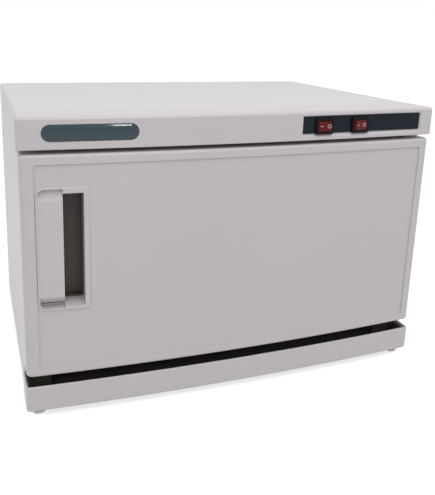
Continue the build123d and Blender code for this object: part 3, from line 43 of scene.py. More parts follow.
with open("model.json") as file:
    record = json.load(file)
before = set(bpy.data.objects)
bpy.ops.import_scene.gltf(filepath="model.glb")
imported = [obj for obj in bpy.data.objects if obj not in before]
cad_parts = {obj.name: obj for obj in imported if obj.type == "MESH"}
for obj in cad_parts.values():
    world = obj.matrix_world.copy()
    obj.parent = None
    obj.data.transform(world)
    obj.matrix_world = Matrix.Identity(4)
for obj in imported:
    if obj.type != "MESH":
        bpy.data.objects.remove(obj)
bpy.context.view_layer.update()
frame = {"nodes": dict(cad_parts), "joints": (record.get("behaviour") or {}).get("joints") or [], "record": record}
MM = 0.001
WELD = 1e-6  # vertices nearer than this, in metres, are one
UP = Vector((0.0, 0.0, 1.0))
PLASTIC_IOR = 1.5
CELL_MIDDLE = 0.4  # usual value of a cell pattern's distance
ALONG_X = (0.04, 1.0, 1.0)  # stretch of the lines of rolled or drawn metal
ALONG_Y = (1.0, 0.04, 1.0)
ALONG_Z = (1.0, 1.0, 0.1)


def colour(label, text, default):
    """Colour property of a finish."""
    return FloatVectorProperty(name=label, description=text, default=default, size=3,
                               min=0.0, max=1.0, subtype="COLOR")


def length(label, text, default):
    """Length property, in metres."""
    return FloatProperty(name=label, description=text, default=default, min=0.0, precision=5,
                         subtype="DISTANCE", unit="LENGTH")


def share(label, text, default):
    """Property between none and all."""
    return FloatProperty(name=label, description=text, default=default, min=0.0, max=1.0,
                         subtype="FACTOR")


class CabinetColours(bpy.types.PropertyGroup):
    """Colours of the cabinet's finishes."""

    paint: colour("Steel paint", "Powder coat of the skin and the rear panel", (0.635, 0.61, 0.63))
    moulding: colour("Mouldings", "White plastic of the fascia, door and tray",
                     (0.60, 0.565, 0.585))
    grip: colour("Grip", "White plastic of the door grip", (0.605, 0.565, 0.585))
    # Partly painted shade: the cup's dark tone makes the finger slot read as a deeply shaded recess
    cup: colour("Grip cup", "Dark plastic behind the finger slot", (0.055, 0.046, 0.040))
    # Partly painted shade: the tray body's near-black tone is set so that the gap under the door reads as deep
    # shade
    tray: colour("Tray", "Dark plastic of the drip tray behind its skirt", (0.095, 0.086, 0.074))
    # Partly painted shade: the frame and base are painted near black so that the gaps round the door read as deep
    # shade
    frame_paint: colour("Frame and base", "Dark paint of the steel frame and the base",
                        (0.055, 0.050, 0.043))
    badge: colour("Name plate", "Deep teal of the blank name plate", (0.010, 0.038, 0.050))
    strip: colour("Control strip", "Blue black of the control strip", (0.0075, 0.0125, 0.020))
    bezel: colour("Switch bezel", "Black plastic of the switch housings", (0.006, 0.005, 0.007))
    rocker: colour("Rocker", "Red plastic of the rockers", (0.125, 0.0035, 0.0055))
    mark: colour("Switch marks", "Printed marks on the rockers", (0.46, 0.30, 0.30))
    rubber: colour("Feet", "Grey rubber of the feet", (0.70, 0.69, 0.68))
    seal: colour("Door seal", "Grey rubber of the door's gasket", (0.17, 0.17, 0.175))
    nylon: colour("Nylon", "Rails, bushes and sockets", (0.62, 0.60, 0.55))
    zinc: colour("Zinc", "Zinc plate on decks, pins and screws", (0.42, 0.43, 0.45))
    aluminium: colour("Aluminium", "Tank, spreader and rack rails", (0.60, 0.61, 0.63))
    wool: colour("Glass wool", "Yellow glass wool round the tank", (0.60, 0.48, 0.16))
    foam: colour("Foam", "Cream foam in the door", (0.62, 0.56, 0.42))
    magnet: colour("Magnet strips", "Brown rubber of the gasket's magnets", (0.035, 0.028, 0.025))
    chrome: colour("Chrome", "Plating of the wire rack", (0.72, 0.73, 0.75))
    block: colour("Terminal block", "Brown plastic of the terminal block", (0.045, 0.030, 0.022))


class CabinetGrain(bpy.types.PropertyGroup):
    """Size and depth of the surface grain."""

    peel_pitch: length("Paint peel pitch", "Distance between the paint's ripples", 0.0022)
    peel_depth: length("Paint peel depth", "Height of the paint's ripples", 0.00002)
    spark_pitch: length("Moulded grain pitch", "Distance between the grains of the mouldings",
                        0.0006)
    spark_depth: length("Moulded grain depth", "Height of the grains of the mouldings", 0.000012)
    paint_gloss: share("Paint roughness", "Roughness of the painted steel", 0.40)
    moulding_gloss: share("Moulding roughness", "Roughness of the white mouldings", 0.36)


class CabinetHardware(bpy.types.PropertyGroup):
    """Sizes of the screws, the switch marks, the name plate's dome and the grip's pad."""

    recess_width: length("Recess width", "Width of an arm of the cross recess", 0.0010)
    recess_span: length("Recess span", "Span of the cross recess", 0.0034)
    recess_depth: length("Recess depth", "Depth of the cross recess", 0.0009)
    thread_pitch: length("Thread pitch", "Pitch of the screw threads", 0.0010)
    bar_length: length("Bar length", "Length of the bar mark", 0.0036)
    mark_stroke: length("Mark stroke", "Width of the marks' lines", 0.00085)
    ring_radius: length("Ring radius", "Outer radius of the ring mark", 0.0021)
    mark_reach: length("Mark reach", "Distance of the marks from the rocker's middle", 0.0042)
    mark_height: length("Mark height", "How far the marks stand proud", 0.00010)
    plate_rim: length("Name plate rim", "Thickness of the domed name plate at its rim", 0.0006)
    pad_ease: share("Pad ease", "How much of the slope at the grip pad's upper end is kept", 0.50)


class CabinetStage(bpy.types.PropertyGroup):
    """Light, floor and camera."""

    key_power: FloatProperty(name="Key light", description="Power of the softbox over the front",
                             default=8.6, min=0.0, unit="POWER")
    fill_power: FloatProperty(name="Fill light", description="Power of the softbox on the left",
                              default=2.7, min=0.0, unit="POWER")
    spark_power: FloatProperty(name="Small light", description="Power of the lamp for highlights",
                               default=1.5, min=0.0, unit="POWER")
    sky: FloatProperty(name="Room light", description="Strength of the even light from all round",
                       default=0.62, min=0.0, subtype="FACTOR")
    floor: colour("Floor", "Pale floor", (0.62, 0.62, 0.62))
    glow: share("Floor whiteness", "How much whiter the camera sees the floor", 0.68)
    focal: FloatProperty(name="Focal length", description="Camera's focal length",
                         default=44.454, min=1.0, unit="CAMERA")


# Shader maths


class Socket:
    """Shader value that takes part in Python sums."""

    def __init__(self, coat, socket):
        self.coat = coat
        self.socket = socket

    def _sum(self, operation, *values):
        return self.coat.node("ShaderNodeMath", {"operation": operation}, *values)

    def __add__(self, other):
        return self._sum("ADD", self, other)

    def __radd__(self, other):
        return self._sum("ADD", other, self)

    def __sub__(self, other):
        return self._sum("SUBTRACT", self, other)

    def __rsub__(self, other):
        return self._sum("SUBTRACT", other, self)

    def __mul__(self, other):
        return self._sum("MULTIPLY", self, other)

    def __rmul__(self, other):
        return self._sum("MULTIPLY", other, self)

    def __gt__(self, other):
        return self._sum("GREATER_THAN", self, other)


class Coat:
    """Material under construction, with its surface shader."""

    def __init__(self, name):
        self.material = bpy.data.materials.new(name)
        self.material.use_nodes = True
        self.tree = self.material.node_tree
        self.tree.nodes.clear()
        self.output = self.tree.nodes.new("ShaderNodeOutputMaterial")
        self.place = self.node("ShaderNodeTexCoord", {}, out="Object")

    def node(self, kind, settings, *inputs, out=0, **named):
        """Add a node: its settings first, then its sockets by order or by name."""
        made = self.tree.nodes.new(kind)
        stops = settings.pop("stops", None)
        for key, value in settings.items():
            setattr(made, key, value)
        if stops:
            ramp = made.color_ramp
            for index, (position, tone) in enumerate(stops):
                stop = ramp.elements[index] if index < 2 else ramp.elements.new(position)
                stop.position = position
                stop.color = (tone, tone, tone, 1.0)
        for key, value in [*enumerate(inputs), *named.items()]:
            socket = made.inputs[key if isinstance(key, int) else key.replace("_", " ")]
            self.feed(socket, value)
        return Socket(self, made.outputs[out])

    def feed(self, socket, value):
        """Link a value to a socket, or write a plain number or colour into it."""
        if isinstance(value, Socket):
            self.tree.links.new(value.socket, socket)
        elif hasattr(value, "__len__") and len(value) == 3 and socket.type == "RGBA":
            socket.default_value = (*value, 1.0)
        else:
            socket.default_value = value

    def noise(self, pitch, detail=2.0, stretch=(1.0, 1.0, 1.0)):
        """Noise whose grains lie about pitch metres apart."""
        vector = self.node("ShaderNodeMapping", {}, Vector=self.place, Scale=stretch)
        return self.node("ShaderNodeTexNoise", {}, Vector=vector, Scale=1.0 / pitch, Detail=detail)

    def cells(self, pitch, feature="F1", out="Distance"):
        """Cell pattern of about pitch metres."""
        return self.node("ShaderNodeTexVoronoi", {"feature": feature}, Vector=self.place,
                         Scale=1.0 / pitch, out=out)

    def ramp(self, value, *stops):
        """Grey ramp over a value."""
        return self.node("ShaderNodeValToRGB", {"stops": stops}, value)

    def tint(self, mask, low, high):
        """Blend of two colours by a mask."""
        mixed = self.node("ShaderNodeMix", {"data_type": "RGBA"}, mask, out=2)
        for socket, tone in zip(mixed.socket.node.inputs[6:8], (low, high)):
            self.feed(socket, tone)
        return mixed

    def shades(self, mask, tone, low, high):
        """A colour that goes by a mask from one lightness to another."""
        return self.tint(mask, scaled(tone, low), scaled(tone, high))

    def bump(self, height, depth):
        """Bump of a given depth in metres."""
        return self.node("ShaderNodeBump", {}, Height=height, Distance=depth)

    def surface(self, **sockets):
        """Finish the material with one surface shader."""
        shader = self.node("ShaderNodeBsdfPrincipled", {}, **sockets)
        self.tree.links.new(shader.socket, self.output.inputs[0])
        return self.material


def scaled(tone, factor):
    """A colour made lighter or darker."""
    return tuple(min(1.0, part * factor) for part in tone)


def swing(mask, amount, middle=0.5):
    """How far a value moves by a mask: nowhere at its middle, by the amount from end to end."""
    return amount * (mask - middle)


def powder_coat(name, tone, grain):
    """Baked powder coat: soft orange peel, with slow changes of tone and gloss."""
    coat = Coat(name)
    peel = coat.noise(grain.peel_pitch, detail=1.5)
    drift = coat.noise(0.12)
    fine = coat.noise(grain.peel_pitch * 0.2, detail=1.0)
    return coat.surface(
        Base_Color=coat.shades(drift, tone, 0.975, 1.02),
        Roughness=grain.paint_gloss + swing(drift, 0.08) + swing(fine, 0.05),
        Normal=coat.bump(peel + 0.25 * fine, grain.peel_depth),
        IOR=PLASTIC_IOR)


def moulded(name, tone, grain, gloss=None):
    """Injection moulded plastic with a fine spark grain and faint flow marks."""
    coat = Coat(name)
    spark = coat.cells(grain.spark_pitch, "SMOOTH_F1")
    flow = coat.noise(0.09, detail=3.0, stretch=(1.0, 1.0, 0.35))
    smear = coat.noise(0.018, detail=4.0)
    rough = grain.moulding_gloss if gloss is None else gloss
    return coat.surface(
        Base_Color=coat.shades(flow, tone, 0.978, 1.018),
        Roughness=rough + swing(smear, 0.09) + swing(spark, 0.05, CELL_MIDDLE),
        Normal=coat.bump(spark + 0.3 * smear, grain.spark_depth),
        IOR=PLASTIC_IOR)


def dark_plastic(name, tone, rough, mirror=0.5):
    """Dark moulded plastic with a matt grain and a little dust."""
    coat = Coat(name)
    grain = coat.cells(0.0005)
    dust = coat.ramp(coat.noise(0.006, detail=5.0), (0.52, 0.0), (0.80, 1.0))
    return coat.surface(
        Base_Color=coat.shades(dust * 0.25, tone, 1.0, 1.9),
        Roughness=rough + 0.10 * dust + swing(grain, 0.06, CELL_MIDDLE),
        Normal=coat.bump(grain, 0.00001),
        Specular_IOR_Level=mirror,
        IOR=PLASTIC_IOR)


def gloss_panel(name, tone, sheen):
    """Dark lacquered panel: fine flake in the ground under a clear coat."""
    coat = Coat(name)
    flake = coat.cells(0.0004, out="Color")
    speck = coat.node("ShaderNodeSeparateColor", {}, flake)
    haze = coat.noise(0.02, detail=3.0)
    return coat.surface(
        Base_Color=coat.shades((speck > 0.82) * 0.35, tone, 1.0, 2.2),
        Roughness=0.34 + swing(haze, 0.12),
        Normal=coat.bump(haze, 0.000006),
        Coat_Weight=sheen + swing(haze, 0.2 * sheen),
        Coat_Roughness=0.06,
        Specular_IOR_Level=0.12,
        IOR=PLASTIC_IOR)


def red_plastic(name, tone):
    """Deep red plastic of the rockers, slightly clouded, with a faint mould texture."""
    coat = Coat(name)
    cloud = coat.noise(0.004)
    fine = coat.noise(0.0005)
    return coat.surface(
        Base_Color=coat.shades(cloud, tone, 0.85, 1.25),
        Roughness=0.22 + swing(cloud, 0.10) + swing(fine, 0.04),
        Normal=coat.bump(fine, 0.000006),
        Coat_Weight=0.10 + swing(cloud, 0.06),
        Coat_Roughness=0.1,
        Specular_IOR_Level=0.15,
        IOR=1.49)


def ink(name, tone):
    """Printed mark, slightly uneven."""
    coat = Coat(name)
    grain = coat.noise(0.0006, detail=3.0)
    return coat.surface(
        Base_Color=coat.shades(grain, tone, 0.88, 1.08),
        Roughness=0.45 + swing(grain, 0.15))


def rubber(name, tone, rough=0.72):
    """Matt rubber with bloom and a fine pitted grain."""
    coat = Coat(name)
    pits = coat.cells(0.0007)
    bloom = coat.noise(0.01, detail=4.0)
    return coat.surface(
        Base_Color=coat.shades(bloom, tone, 0.85, 1.35),
        Roughness=rough + swing(bloom, 0.12),
        Normal=coat.bump(pits, 0.00003),
        IOR=1.52)


def zinc_plate(name, tone):
    """Galvanised sheet: spangles that catch the light differently."""
    coat = Coat(name)
    spangle = coat.node("ShaderNodeSeparateColor", {}, coat.cells(0.007, out="Color"))
    scratch = coat.noise(0.004, detail=3.0, stretch=(1.0, 0.08, 1.0))
    return coat.surface(
        Base_Color=coat.shades(spangle * 0.7 + 0.3 * scratch, tone, 0.82, 1.15),
        Metallic=1.0,
        Roughness=0.30 + 0.16 * spangle + swing(scratch, 0.08),
        Normal=coat.bump(scratch, 0.000008))


def brushed(name, tone, along, rough=0.30):
    """Rolled or drawn metal with fine lines along one direction."""
    coat = Coat(name)
    lines = coat.noise(0.0005, stretch=along)
    drift = coat.noise(0.03, detail=3.0)
    return coat.surface(
        Base_Color=coat.shades(lines * 0.6 + 0.4 * drift, tone, 0.88, 1.10),
        Metallic=1.0,
        Roughness=rough + swing(lines, 0.14) + swing(drift, 0.08),
        Normal=coat.bump(lines, 0.000005))


def bright_wire(name, tone):
    """Chrome plated wire with small weld dullness."""
    coat = Coat(name)
    dull = coat.ramp(coat.noise(0.02, detail=3.0), (0.45, 0.0), (0.75, 1.0))
    return coat.surface(
        Base_Color=coat.shades(dull, tone, 1.0, 0.82),
        Metallic=1.0,
        Roughness=0.10 + 0.16 * dull,
        Normal=coat.bump(coat.noise(0.002), 0.000004))


def heated_steel(name):
    """Sheathed heater tube: straw and blue heat tint along it."""
    straw, blue = (0.16, 0.13, 0.10), (0.10, 0.11, 0.14)
    coat = Coat(name)
    heat = coat.noise(0.035)
    soot = coat.noise(0.003, detail=4.0)
    return coat.surface(
        Base_Color=coat.tint(heat, straw, blue),
        Metallic=1.0,
        Roughness=0.42 + swing(soot, 0.2),
        Normal=coat.bump(soot, 0.00001))


def fibre(name, tone):
    """Glass wool: layered matted strands."""
    coat = Coat(name)
    strands = coat.noise(0.0016, detail=6.0, stretch=(0.5, 0.5, 2.2))
    tufts = coat.noise(0.012, detail=5.0)
    return coat.surface(
        Base_Color=coat.shades(strands * 0.6 + 0.4 * tufts, tone, 0.70, 1.15),
        Roughness=0.95,
        Normal=coat.bump(strands + tufts, 0.0008))


def cellular(name, tone):
    """Closed cell foam with open cut bubbles."""
    coat = Coat(name)
    bubbles = coat.cells(0.0011)
    return coat.surface(
        Base_Color=coat.shades(bubbles, tone, 0.80, 1.08),
        Roughness=0.88 + swing(bubbles, 0.1),
        Normal=coat.bump(bubbles, 0.0003))


def quartz(name):
    """Lamp tube: clear quartz with a faint mercury bloom."""
    clear, clouded = (0.90, 0.92, 0.96), (0.72, 0.72, 0.74)
    coat = Coat(name)
    bloom = coat.ramp(coat.noise(0.015, detail=3.0), (0.4, 0.0), (0.8, 1.0))
    return coat.surface(
        Base_Color=coat.tint(bloom, clear, clouded),
        Roughness=0.04 + 0.12 * bloom,
        Alpha=0.42 + 0.3 * bloom,
        IOR=1.46)


def laminated(name):
    """Varnished ballast core: thin laminations side by side."""
    joint, sheet = (0.030, 0.030, 0.034), (0.075, 0.072, 0.070)
    coat = Coat(name)
    wave = coat.node("ShaderNodeTexWave", {"bands_direction": "Y"}, Vector=coat.place, Scale=320.0,
                     Distortion=0.4)
    sheets = coat.node("ShaderNodeSeparateColor", {}, wave)
    return coat.surface(
        Base_Color=coat.tint(sheets, joint, sheet),
        Roughness=0.38 + swing(sheets, 0.2),
        Metallic=0.4 + swing(sheets, 0.2),
        Normal=coat.bump(sheets, 0.00008))


def brass_plate(name):
    """Bright brass with slight tarnish."""
    bright, tarnished = (0.62, 0.46, 0.18), (0.46, 0.32, 0.12)
    coat = Coat(name)
    tarnish = coat.noise(0.003, detail=4.0)
    return coat.surface(
        Base_Color=coat.tint(tarnish, bright, tarnished),
        Metallic=1.0,
        Roughness=0.26 + swing(tarnish, 0.2))


def backdrop(name, tone, glow):
    """Plain matt floor, which the camera and mirrors see whiter than its light alone makes it."""
    coat = Coat(name)
    drift = coat.noise(0.8)
    seen = coat.node("ShaderNodeLightPath", {}, out="Is Camera Ray")
    for ray in ("Is Glossy Ray", "Is Transmission Ray"):
        seen = seen + coat.node("ShaderNodeLightPath", {}, out=ray)
    return coat.surface(
        Base_Color=coat.shades(drift, tone, 0.995, 1.005),
        Emission_Color=coat.tint(seen, (0.0, 0.0, 0.0), (glow, glow, glow)),
        Emission_Strength=1.0,
        Roughness=0.9,
        Specular_IOR_Level=0.1)


# Pieces


def dress(material, *nodes):
    """Give CAD nodes a finish."""
    for node in nodes:
        slots = frame["nodes"][node].data.materials
        slots.clear()
        slots.append(material)


def body_of(node):
    """Name of the body that a CAD node rides on."""
    bodies = frame["record"]["behaviour"]["bodies"]
    return next(name for name, members in bodies.items() if node in members)


def add_piece(ending, work, material, node):
    """Turn finished mesh work into a piece that rides and is named after a CAD node."""
    bmesh.ops.recalc_face_normals(work, faces=work.faces)
    mesh = bpy.data.meshes.new(node + ending)
    work.to_mesh(mesh)
    work.free()
    mesh.materials.append(material)
    piece = bpy.data.objects.new(node + ending, mesh)
    bpy.context.scene.collection.objects.link(piece)
    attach(piece, body_of(node))
    return piece


def solids_of(node):
    """Boxes of the separate solids of a CAD node."""
    work = bmesh.new()
    work.from_mesh(frame["nodes"][node].data)
    bmesh.ops.remove_doubles(work, verts=work.verts, dist=WELD)
    seen, boxes = set(), []
    for first in work.verts:
        if first in seen:
            continue
        seen.add(first)
        island = [first]
        for vert in island:
            for edge in vert.link_edges:
                other = edge.other_vert(vert)
                if other not in seen:
                    seen.add(other)
                    island.append(other)
        low, high = (Vector([pick(vert.co[axis] for vert in island) for axis in range(3)])
                     for pick in (min, max))
        boxes.append((low, high))
    work.free()
    return boxes


def head_height(reach, radius, height, hardware, countersunk):
    """Height of a screw head's top over its seat at a point across it."""
    crown, end_slope = 0.45, 3.0  # the dome's share of the height, how steep the recess ends
    x, y = reach
    spread = min(1.0, math.hypot(x, y) / radius)
    level = height if countersunk else height * (1.0 - crown * spread ** 3)
    arm, span = hardware.recess_width / 2, hardware.recess_span / 2
    across, along = sorted((abs(x), abs(y)))
    if across < arm and along < span:
        level -= hardware.recess_depth * min(1.0, end_slope * (1.0 - along / span))
    return level


def add_screw(work, seat, out, radius, height, shank, reach, hardware, countersunk):
    """Screw with a cross recess: head over its seat, threaded shank behind it."""
    sides, rings = 48, 16
    pitch, root, tip = hardware.thread_pitch, 0.80 * shank, 0.35 * shank
    circle = [(math.cos(angle), math.sin(angle))
              for angle in (2 * math.pi * side / sides for side in range(sides))]
    grid = []
    for ring in range(1, rings + 1):
        points = [(radius * ring / rings * x, radius * ring / rings * y) for x, y in circle]
        grid.append([work.verts.new((*point, head_height(point, radius, height, hardware,
                                                         countersunk))) for point in points])
    middle = work.verts.new((0, 0, head_height((0, 0), radius, height, hardware, countersunk)))
    profile = [(shank, 0.0)] if countersunk else [(radius, 0.0), (shank, 0.0)]
    for turn in range(int(reach / pitch)):
        profile += [(shank, -pitch * turn - pitch / 4), (root, -pitch * turn - pitch * 3 / 4)]
    profile.append((tip, -reach))
    for distance, level in profile:
        grid.append([work.verts.new((distance * x, distance * y, level)) for x, y in circle])
    for side in range(sides):
        after = (side + 1) % sides
        work.faces.new((middle, grid[0][side], grid[0][after]))
        for inner, outer in zip(grid, grid[1:]):
            work.faces.new((inner[side], outer[side], outer[after], inner[after]))
    work.faces.new(list(reversed(grid[-1])))
    place = Matrix.Translation(seat) @ out.to_track_quat("Z", "Y").to_matrix().to_4x4()
    bmesh.ops.transform(work, matrix=place,
                        verts=[middle, *(vert for row in grid for vert in row)])


def replace_screws(node, material, hardware, axis, head_high, head=1.6 * MM, countersunk=False):
    """Detailed screws in the place of a CAD node's plain ones."""
    core = 0.55 if countersunk else 0.48  # the shank's share of the head's radius
    side = 0 if axis else 1
    work = bmesh.new()
    for low, high in solids_of(node):
        out = Vector((0.0, 0.0, 0.0))
        out[axis] = 1.0 if head_high else -1.0
        tip = high[axis] if head_high else low[axis]
        seat = (low + high) / 2
        seat[axis] = tip - out[axis] * head
        radius = (high[side] - low[side]) / 2
        reach = (high[axis] - low[axis]) - head
        add_screw(work, seat, out, radius, head, radius * core, reach, hardware, countersunk)
    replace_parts(add_piece("_cross", work, material, node), node)


def soft_grip(node, material, kept):
    """Grip moulding of a CAD node whose pad turns in more gently at its upper end."""
    # The solid's slope: room above it, its height and how far it turns in
    room, height, turn = 1.8 * MM, 11.5 * MM, 8.9 * MM
    # How close a vertex on the pad's face and one on the slope are, and how far the pad passes
    # the moulding's middle
    on_face, on_slope, past = 0.02 * MM, 0.35 * MM, 0.4 * MM
    sharp = 0.45  # radians
    source = frame["nodes"][node].data
    front = (part for part in source.polygons if part.normal.y < -0.8)
    face = max(front, key=lambda part: part.area)
    out, level = face.normal.copy(), face.center.dot(face.normal)
    across = UP.cross(out)
    top = max(vert.co.z for vert in source.vertices)
    reach = [vert.co.dot(across) for vert in source.vertices]
    edge_of_pad = (max(reach) + min(reach)) / 2 + past
    slope_start = top - room - height
    crest = max(vert.co.z for vert in source.vertices
                if vert.co.z < slope_start + 1.6 * MM and abs(vert.co.dot(out) - level) < on_face
                and vert.co.dot(across) < edge_of_pad)
    work = bmesh.new()
    verts = []
    for vert in source.vertices:
        place, depth = vert.co.copy(), level - vert.co.dot(out)
        wanted = max(0.0, turn / height * (place.z - slope_start))
        if (place.z > crest - 0.1 * MM and place.dot(across) < edge_of_pad
                and abs(depth - wanted) < on_slope):
            place += out * (depth * (1.0 - kept))
        verts.append(work.verts.new(place))
    for polygon in source.polygons:
        work.faces.new([verts[index] for index in polygon.vertices]).smooth = True
    bmesh.ops.remove_doubles(work, verts=work.verts, dist=WELD)
    for edge in work.edges:
        edge.smooth = len(edge.link_faces) == 2 and edge.calc_face_angle() < sharp
    piece = add_piece("_soft", work, material, node)
    even = piece.modifiers.new("even_shading", "WEIGHTED_NORMAL")
    even.keep_sharp, even.weight = True, 100
    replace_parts(piece, node)


def dome_plate(node, material, rim):
    """Resin dome with the outline and the thickness of a CAD node's flat round-ended plate."""
    steps, rings = 24, 14
    crown = 0.985  # share of the way in at which the dome's flat top begins
    flat = frame["nodes"][node].data
    out = max(flat.polygons, key=lambda part: part.area).normal.copy()
    out *= -1.0 if out.y > 0 else 1.0
    axes = (UP.cross(out), UP, out)
    spans = [[vert.co.dot(axis) for vert in flat.vertices] for axis in axes]
    wide, high, thick = (max(span) - min(span) for span in spans)
    middle = [*((max(span) + min(span)) / 2 for span in spans[:2]), min(spans[2])]
    radius = high / 2
    levels = [(0.0, 0.0), (0.0, rim)]
    for ring in range(1, rings + 1):
        inward = crown * ring / rings
        levels.append((radius * inward, rim + (thick - rim) * (1.0 - (1.0 - inward) ** 2)))
    work = bmesh.new()
    grid = []
    for inset, level in levels:
        row = []
        for side in (1.0, -1.0):
            for step in range(steps + 1):
                angle = math.pi * (step / steps - 0.5)
                reach = (side * (wide / 2 - radius + (radius - inset) * math.cos(angle)),
                         side * (radius - inset) * math.sin(angle), level)
                row.append(work.verts.new(sum((axis * (start + part) for axis, start, part
                                               in zip(axes, middle, reach)), Vector())))
        grid.append(row)
    around = len(grid[0])
    for lower, upper in zip(grid, grid[1:]):
        for step in range(around):
            after = (step + 1) % around
            side = work.faces.new((lower[step], lower[after], upper[after], upper[step]))
            side.smooth = lower is not grid[0]
    work.faces.new(list(reversed(grid[0])))
    work.faces.new(grid[-1]).smooth = True
    for step in range(around):
        work.edges.get((grid[1][step], grid[1][(step + 1) % around])).smooth = False
    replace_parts(add_piece("_dome", work, material, node), node)


def drape_mark(work, outline, rocker, place, height, closed):
    """Lay a flat outline, rows of points, on a rocker's face as a thin raised print."""
    above = 20 * MM
    tree = BVHTree.FromObject(frame["nodes"][rocker], bpy.context.evaluated_depsgraph_get())
    out = (place.to_3x3() @ UP).normalized()
    rows = [[tree.ray_cast(place @ Vector((x, y, above)), -out)[0] for x, y in row]
            for row in outline]
    top = [[work.verts.new(hit + out * height) for hit in row] for row in rows]
    low = [[work.verts.new(hit - out * height) for hit in row] for row in rows]
    columns, last = len(rows[0]), len(rows) - 1
    for step in range(columns if closed else columns - 1):
        after = (step + 1) % columns
        for row in range(last):
            work.faces.new((top[row][step], top[row][after], top[row + 1][after],
                            top[row + 1][step]))
            work.faces.new((low[row][step], low[row + 1][step], low[row + 1][after],
                            low[row][after]))
        for row in (0, last):
            work.faces.new((top[row][step], low[row][step], low[row][after], top[row][after]))
    if not closed:
        for step in (0, columns - 1):
            for row in range(last):
                work.faces.new((top[row][step], low[row][step], low[row + 1][step],
                                top[row + 1][step]))


# Operators


class CabinetOperator:
    """Shared settings of the cabinet's operators."""

    bl_options = {"REGISTER", "UNDO"}


class CABINET_OT_steel_skin(CabinetOperator, bpy.types.Operator):
    """Powder coat the bent skin, the rear panel, the base plate and the hinge brackets"""

    bl_idname = "cabinet.steel_skin"
    bl_label = "Steel skin"

    def execute(self, context):
        tones, grain = context.scene.cabinet_colours, context.scene.cabinet_grain
        dress(powder_coat("white_powder_coat", tones.paint, grain), "outer_shell", "rear_panel",
              "hinge_bracket_top", "hinge_bracket_bottom")
        # Partly painted shade: the dark paint on the front frame and base plate stands in for the shade in the
        # gaps round the door
        dress(powder_coat("dark_powder_coat_and_shade", tones.frame_paint, grain), "front_frame",
              "base_plate")
        return {"FINISHED"}


class CABINET_OT_mouldings(CabinetOperator, bpy.types.Operator):
    """Finish the fascia, the door and its liner, and both parts of the drip tray"""

    bl_idname = "cabinet.mouldings"
    bl_label = "Mouldings"

    def execute(self, context):
        tones, grain = context.scene.cabinet_colours, context.scene.cabinet_grain
        dress(moulded("white_moulding", tones.moulding, grain), "front_fascia", "door_shell",
              "tray_front", "door_liner")
        # Partly painted shade: the drip tray is coloured near black so that the gap under the door looks as dark
        # as deep shade
        dress(dark_plastic("tray_moulding_painted_shade", tones.tray, 0.55), "drip_tray")
        return {"FINISHED"}


class CABINET_OT_grip(CabinetOperator, bpy.types.Operator):
    """Finish the white grip and the dark cup behind it"""

    bl_idname = "cabinet.grip"
    bl_label = "Door grip"

    def execute(self, context):
        tones, grain = context.scene.cabinet_colours, context.scene.cabinet_grain
        hardware = context.scene.cabinet_hardware
        soft_grip("handle_insert", moulded("grip_moulding", tones.grip, grain, 0.22),
                  hardware.pad_ease)
        # Partly painted shade: the cup behind the finger slot is coloured dark so that the slot looks deeply
        # shaded
        dress(dark_plastic("grip_cup_painted_shade", tones.cup, 0.50), "handle_cup")
        return {"FINISHED"}


class CABINET_OT_panels(CabinetOperator, bpy.types.Operator):
    """Dome the blank name plate and finish the control strip"""

    bl_idname = "cabinet.panels"
    bl_label = "Name plate and strip"

    def execute(self, context):
        tones, hardware = context.scene.cabinet_colours, context.scene.cabinet_hardware
        dome_plate("name_plate", gloss_panel("teal_name_plate", tones.badge, 0.85),
                   hardware.plate_rim)
        dress(gloss_panel("blue_black_strip", tones.strip, 0.04), "control_strip")
        return {"FINISHED"}


class CABINET_OT_switches(CabinetOperator, bpy.types.Operator):
    """Finish the switch housings and rockers, and print a bar and a ring on each rocker"""

    bl_idname = "cabinet.switches"
    bl_label = "Switches"

    def execute(self, context):
        tones, hardware = context.scene.cabinet_colours, context.scene.cabinet_hardware
        dress(dark_plastic("switch_black", tones.bezel, 0.30, 0.12), "switch_housing_heat",
              "switch_housing_uv")
        dress(red_plastic("rocker_red_plastic", tones.rocker), "rocker_heat", "rocker_uv")
        dress(brass_plate("terminal_brass"), "switch_terminals")
        print_ink = ink("mark_ink", tones.mark)
        pivots = {j["child"]: Vector(j["pos_m"]) for j in frame["joints"] if j["type"] == "hinge"}
        facing_front = Matrix(((1, 0, 0, 0), (0, 0, -1, 0), (0, 1, 0, 0), (0, 0, 0, 1)))
        bar, ring = self.bar_and_ring(hardware)
        for rocker in ("rocker_heat", "rocker_uv"):
            place = Matrix.Translation(pivots[rocker]) @ facing_front
            work = bmesh.new()
            drape_mark(work, bar, rocker, place, hardware.mark_height, closed=False)
            drape_mark(work, ring, rocker, place, hardware.mark_height, closed=True)
            add_piece("_marks", work, print_ink, rocker)
        return {"FINISHED"}

    def bar_and_ring(self, hardware):
        """Rows of points of the bar on the left and of the ring on the right."""
        half, stroke = hardware.bar_length / 2, hardware.mark_stroke / 2
        reach, columns, sides = hardware.mark_reach, 8, 32
        bar = [[(-reach + half * (2 * step / columns - 1), level) for step in range(columns + 1)]
               for level in (-stroke, 0.0, stroke)]
        ring = [[(reach + radius * math.cos(2 * math.pi * step / sides),
                  radius * math.sin(2 * math.pi * step / sides)) for step in range(sides)]
                for radius in (hardware.ring_radius - inset for inset in (0, stroke, 2 * stroke))]
        return bar, ring


class CABINET_OT_rubber(CabinetOperator, bpy.types.Operator):
    """Finish the feet, the gasket, its magnet strips and the cable gland"""

    bl_idname = "cabinet.rubber"
    bl_label = "Feet and seal"

    def execute(self, context):
        tones = context.scene.cabinet_colours
        dress(rubber("foot_rubber", tones.rubber), "foot_front_left", "foot_front_right",
              "foot_rear_left", "foot_rear_right")
        dress(rubber("seal_rubber", tones.seal, 0.6), "door_gasket")
        dress(rubber("magnet_rubber", tones.magnet, 0.55), "gasket_magnets")
        dress(dark_plastic("gland_plastic", tones.bezel, 0.42), "cord_gland")
        return {"FINISHED"}


